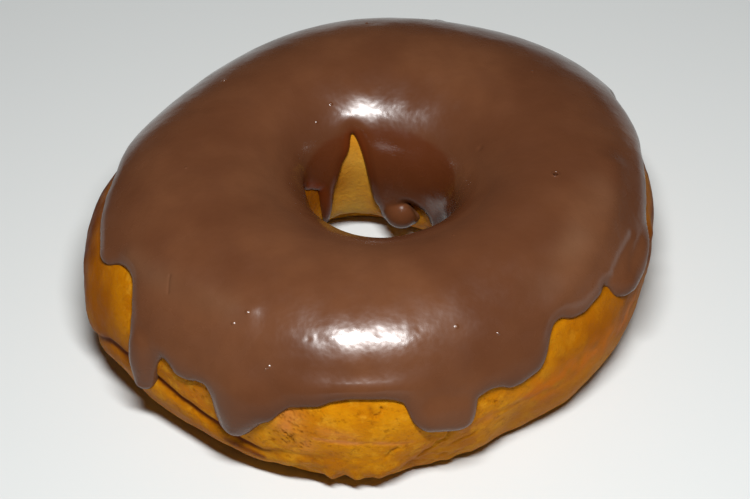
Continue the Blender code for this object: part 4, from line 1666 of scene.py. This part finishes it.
@dataclass(frozen=True)
class SetIcing(Finish):
    """Milk-chocolate icing, poured warm and set: smooth, satin, a little uneven in its shine.

    The shine has two layers: the cocoa butter of the icing itself, and a thin clear skin of sugar
    over it. Both are dull at the rim, on the sides and in the hole. The shade on the hole's wall
    and in pits, the rim's reflection and the sheens are painted into its colour.
    """

    body: str = "#633B24"            # the set coat, and its paler and deeper patches
    pale: str = "#6E462D"
    deep: str = "#53301D"
    thin: str = "#562A13"            # painted shade and reddish bounce light on the hole's wall
    rim: str = "#6E523E"             # painted reflection: a greyer line along the rounded rim
    film: str = "#6A2C0C"            # the crust shining through a film
    pit: str = "#2F170C"             # painted shade inside a pinhole
    sheen: str = "#82644C"           # painted sheen: paler streaks where light glances off
    clouds: Patches = Patches(20.0, 2.0, 0.55, (0.35, 0.65))
    body_share: float = 0.50
    mottle: Patches = Patches(3.0, 3.0, 0.55, (0.30, 0.70), 0.18)
    wall_shade_share: float = 0.90
    sheen_share: float = 0.25
    rim_reflection_share: float = 0.38
    film_share: float = 1.20
    uneven_shine: Patches = Patches(4.5, 3.0, 0.55, (0.30, 0.70))
    roughness: Band = (0.21, 0.32)
    ior: float = 1.50
    gloss: Band = (0.50, 0.09)       # bright and dull
    skin: Band = (0.28, 0.02)
    skin_roughness: float = 0.13
    skin_ior: float = 1.45
    ripple: Grain = Grain(0.08, 1.0, 3.2, 2.0, 0.55)       # left by the pouring
    grain: Grain = Grain(0.10, 0.12, 0.8, 4.0, 0.55)       # sugar, drawn coarser so that it shows

    def make(self) -> bpy.types.Material:
        """The icing's material.

        Returns:
            The material.
        """
        material, tree, shader = self.start()
        colour = self.dapple(tree, self.clouds, linear(self.deep), self.pale)
        colour = add_node(tree, "ShaderNodeMix", {"data_type": "RGBA"},
                          {0: self.body_share, 6: colour, 7: linear(self.body)}).outputs[2]
        colour = self.dapple(tree, self.mottle, colour, self.deep)
        # tones of painted shade on the hole's wall, painted sheen, the painted reflection on the
        # rim, the film, and painted shade in pits
        colour = self.tint(tree, colour, (
            ("wall", self.wall_shade_share, self.thin), ("sheen", self.sheen_share, self.sheen),
            ("rim", self.rim_reflection_share, self.rim), ("film", self.film_share, self.film),
            ("pit", 1.0, self.pit)))
        ripple = self.relief(tree, self.ripple)
        for socket, value in (
                ("Base Color", colour),
                ("Roughness", self.uneven(tree, self.uneven_shine, self.roughness)),
                ("Coat Normal", ripple), ("Normal", self.relief(tree, self.grain, ripple))):
            tree.links.new(value, shader.inputs[socket])
        shade = add_node(tree, "ShaderNodeAttribute", {"attribute_name": "shade"})
        for socket, levels in (("Specular IOR Level", self.gloss), ("Coat Weight", self.skin)):
            level = add_node(tree, "ShaderNodeMapRange", {"interpolation_type": "SMOOTHSTEP"}, {
                "Value": shade.outputs["Fac"], "To Min": levels[0], "To Max": levels[1]})
            tree.links.new(level.outputs["Result"], shader.inputs[socket])
        shader.inputs["IOR"].default_value = self.ior
        shader.inputs["Coat Roughness"].default_value = self.skin_roughness
        shader.inputs["Coat IOR"].default_value = self.skin_ior
        return material


@dataclass(frozen=True)
class FriedCrust(Finish):
    """Crust of yeast dough fried golden: thin, slightly oily, browner towards the foot.

    A little light scatters in the soft crumb under the crust.
    """

    gold: str = "#CC860A"            # the crust, its paler flecks and its amber clouds
    pale: str = "#D69622"
    amber: str = "#B46A02"
    brown: str = "#8A4E00"           # browner towards the foot, and in small speckles
    burn_and_shade_tone: str = "#642C06"          # painted shade in the fold and on the darker sides, over burnt dark where the fat reached longest
    stain: str = "#C06800"           # orange, where fat soaked in
    toast_and_shade: str = "#925000"           # toasted sides, mostly painted shade where they turn from the light
    crumb: str = "#BC9440"           # pale crumb that the fat hardly browned
    blush: str = "#D0844A"           # pinkish, thin crust
    pore: str = "#8A4C0C"            # painted shade inside pores and cracks
    clouds: Patches = Patches(11.0, 3.0, 0.55, (0.35, 0.68))
    mottle: Patches = Patches(3.4, 3.0, 0.60, (0.42, 0.64), 0.50)
    flecks: Patches = Patches(2.4, 3.0, 0.60, (0.50, 0.68), 0.60)
    speckles: Patches = Patches(1.3, 4.0, 0.70, (0.52, 0.72), 0.65)
    browning: Band = (0.0125, 0.0025)    # heights between which the crust gets browner downwards
    browning_share: float = 0.45
    blush_share: float = 0.75
    pore_shade_share: float = 0.50
    crease_from: Band = (0.35, 0.95)
    uneven_shine: Patches = Patches(2.4, 3.0, 0.55, (0.30, 0.70))
    roughness: Band = (0.45, 0.62)
    ior: float = 1.45
    gloss: float = 0.04
    scatter: float = 0.12
    scatter_depth: float = 0.0015
    scatter_colours: tuple[float, float, float] = (1.0, 0.45, 0.15)
    grain: Grain = Grain(0.26, 0.70, 0.7, 5.0, 0.65)       # fry bubbles, drawn coarse to show

    def make(self) -> bpy.types.Material:
        """The crust's material.

        Returns:
            The material.
        """
        material, tree, shader = self.start()
        colour = self.dapple(tree, self.clouds, linear(self.gold), self.amber)
        colour = self.dapple(tree, self.mottle, colour, self.amber)
        colour = self.dapple(tree, self.flecks, colour, self.pale)
        place = add_node(tree, "ShaderNodeTexCoord").outputs["Object"]
        height = add_node(tree, "ShaderNodeSeparateXYZ", inputs={0: place}).outputs["Z"]
        low = add_node(tree, "ShaderNodeMapRange", {"interpolation_type": "SMOOTHSTEP"}, {
            "Value": height, "From Min": self.browning[0], "From Max": self.browning[1],
            "To Max": self.browning_share}).outputs["Result"]
        colour = add_node(tree, "ShaderNodeMix", {"data_type": "RGBA"},
                          {0: low, 6: colour, 7: linear(self.brown)}).outputs[2]
        colour = self.dapple(tree, self.speckles, colour, self.brown)
        # the toast and pore layers are mostly painted shade
        colour = self.tint(tree, colour, (
            ("crumb", 1.0, self.crumb), ("toast_and_shade", 1.0, self.toast_and_shade),
            ("blush", self.blush_share, self.blush), ("stain", 1.0, self.stain),
            ("pore", self.pore_shade_share, self.pore)))
        # painted shade in the fold and on the darker sides, mixed with scorched places
        fold = add_node(tree, "ShaderNodeAttribute", {"attribute_name": "fold"}).outputs["Fac"]
        burn_and_shade = add_node(tree, "ShaderNodeMapRange", {"interpolation_type": "SMOOTHSTEP"}, {
            "Value": fold, "From Min": self.crease_from[0], "From Max": self.crease_from[1]})
        colour = add_node(tree, "ShaderNodeMix", {"data_type": "RGBA"}, {
            0: burn_and_shade.outputs["Result"], 6: colour, 7: linear(self.burn_and_shade_tone)}).outputs[2]
        for socket, value in (
                ("Base Color", colour),
                ("Roughness", self.uneven(tree, self.uneven_shine, self.roughness)),
                ("Normal", self.relief(tree, self.grain))):
            tree.links.new(value, shader.inputs[socket])
        for socket, value in (
                ("IOR", self.ior), ("Specular IOR Level", self.gloss),
                ("Subsurface Weight", self.scatter), ("Subsurface Scale", self.scatter_depth),
                ("Subsurface Radius", self.scatter_colours)):
            shader.inputs[socket].default_value = value
        return material


@dataclass(frozen=True)
class Lamp:
    """One soft oval light.

    It stands in a direction from the doughnut's middle, at a distance in metres. It has a width
    and a height in metres, a power, and a roll in degrees about its own aim.
    """

    name: str
    direction: tuple[float, float, float]
    distance: float
    width: float
    height: float
    watts: float
    roll: float


@dataclass(frozen=True)
class Studio:
    """Pale floor, soft room light, one small high lamp in front, and the camera."""

    floor_tone: str = "#D7DAD9"
    floor_half: float = 2.0
    floor_roughness: float = 0.85
    room_tone: tuple[float, float, float, float] = (0.95, 0.98, 1.0, 1.0)
    room_strength: float = 0.017
    camera_place: tuple[float, float, float] = (0.00175, -0.29836, 0.32732)
    camera_turn: tuple[float, float, float] = (43.229, 1.478, -1.356)     # degrees
    lens: float = 123.74                 # millimetres
    sensor: float = 36.0
    clip: Band = (0.01, 10.0)
    aim: tuple[float, float, float] = (0.0, 0.0, 0.020)
    lamps: tuple[Lamp, ...] = (
        Lamp("key", (0.03, -0.45, 0.89), 0.36, 0.148, 0.034, 1.76, -24.0),)

    def lay_floor(self) -> None:
        """The pale floor under the doughnut."""
        shell = bmesh.new()
        bmesh.ops.create_grid(shell, x_segments=1, y_segments=1, size=self.floor_half)
        mesh = bpy.data.meshes.new("floor")
        shell.to_mesh(mesh)
        shell.free()
        floor = bpy.data.objects.new("floor", mesh)
        bpy.context.scene.collection.objects.link(floor)
        material, _, shader = Finish("pale_floor").start()
        shader.inputs["Base Color"].default_value = linear(self.floor_tone)
        shader.inputs["Roughness"].default_value = self.floor_roughness
        mesh.materials.append(material)

    def hang_lamps(self) -> None:
        """The lamps, each turned to the middle of the doughnut, and the room's soft light."""
        for lamp in self.lamps:
            light = bpy.data.lights.new(lamp.name, "AREA")
            light.shape = "ELLIPSE"
            light.size = lamp.width
            light.size_y = lamp.height
            light.energy = lamp.watts
            holder = bpy.data.objects.new(lamp.name, light)
            away = Vector(lamp.direction).normalized()
            holder.location = Vector(self.aim) + away * lamp.distance
            roll = Quaternion((0.0, 0.0, 1.0), math.radians(lamp.roll))
            holder.rotation_euler = (away.to_track_quat("Z", "Y") @ roll).to_euler()
            bpy.context.scene.collection.objects.link(holder)
        world = bpy.data.worlds.new("room")
        world.use_nodes = True
        room = world.node_tree.nodes["Background"]
        room.inputs["Color"].default_value = self.room_tone
        room.inputs["Strength"].default_value = self.room_strength
        bpy.context.scene.world = world

    def place_camera(self) -> None:
        """The camera, high in front."""
        lens = bpy.data.cameras.new("camera")
        lens.lens = self.lens
        lens.sensor_width = self.sensor
        lens.clip_start, lens.clip_end = self.clip
        camera = bpy.data.objects.new("camera", lens)
        camera.location = self.camera_place
        camera.rotation_euler = [math.radians(part) for part in self.camera_turn]
        bpy.context.scene.collection.objects.link(camera)
        bpy.context.scene.camera = camera

    def set_up(self) -> None:
        """Everything round the doughnut."""
        self.lay_floor()
        self.hang_lamps()
        self.place_camera()
        view = bpy.context.scene.view_settings
        view.view_transform = "Standard"
        view.look = "None"


def place_piece(piece: bpy.types.Object, node: str,
                material: bpy.types.Material) -> None:
    """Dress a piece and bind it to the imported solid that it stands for.

    Args:
        piece: The piece.
        node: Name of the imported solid.
        material: Its finish.
    """
    piece.data.materials.append(material)
    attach(piece, "root")
    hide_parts(node)
    LOG.info("%s stands for %s", piece.name, node)


def main() -> None:
    """Build the doughnut and what stands round it."""
    logging.basicConfig(level=logging.INFO, format="%(name)s: %(message)s")
    for part in (DoughRing(), COAT):
        part.dress(part.build())
    Studio().set_up()


if __name__ == "__main__":
    main()
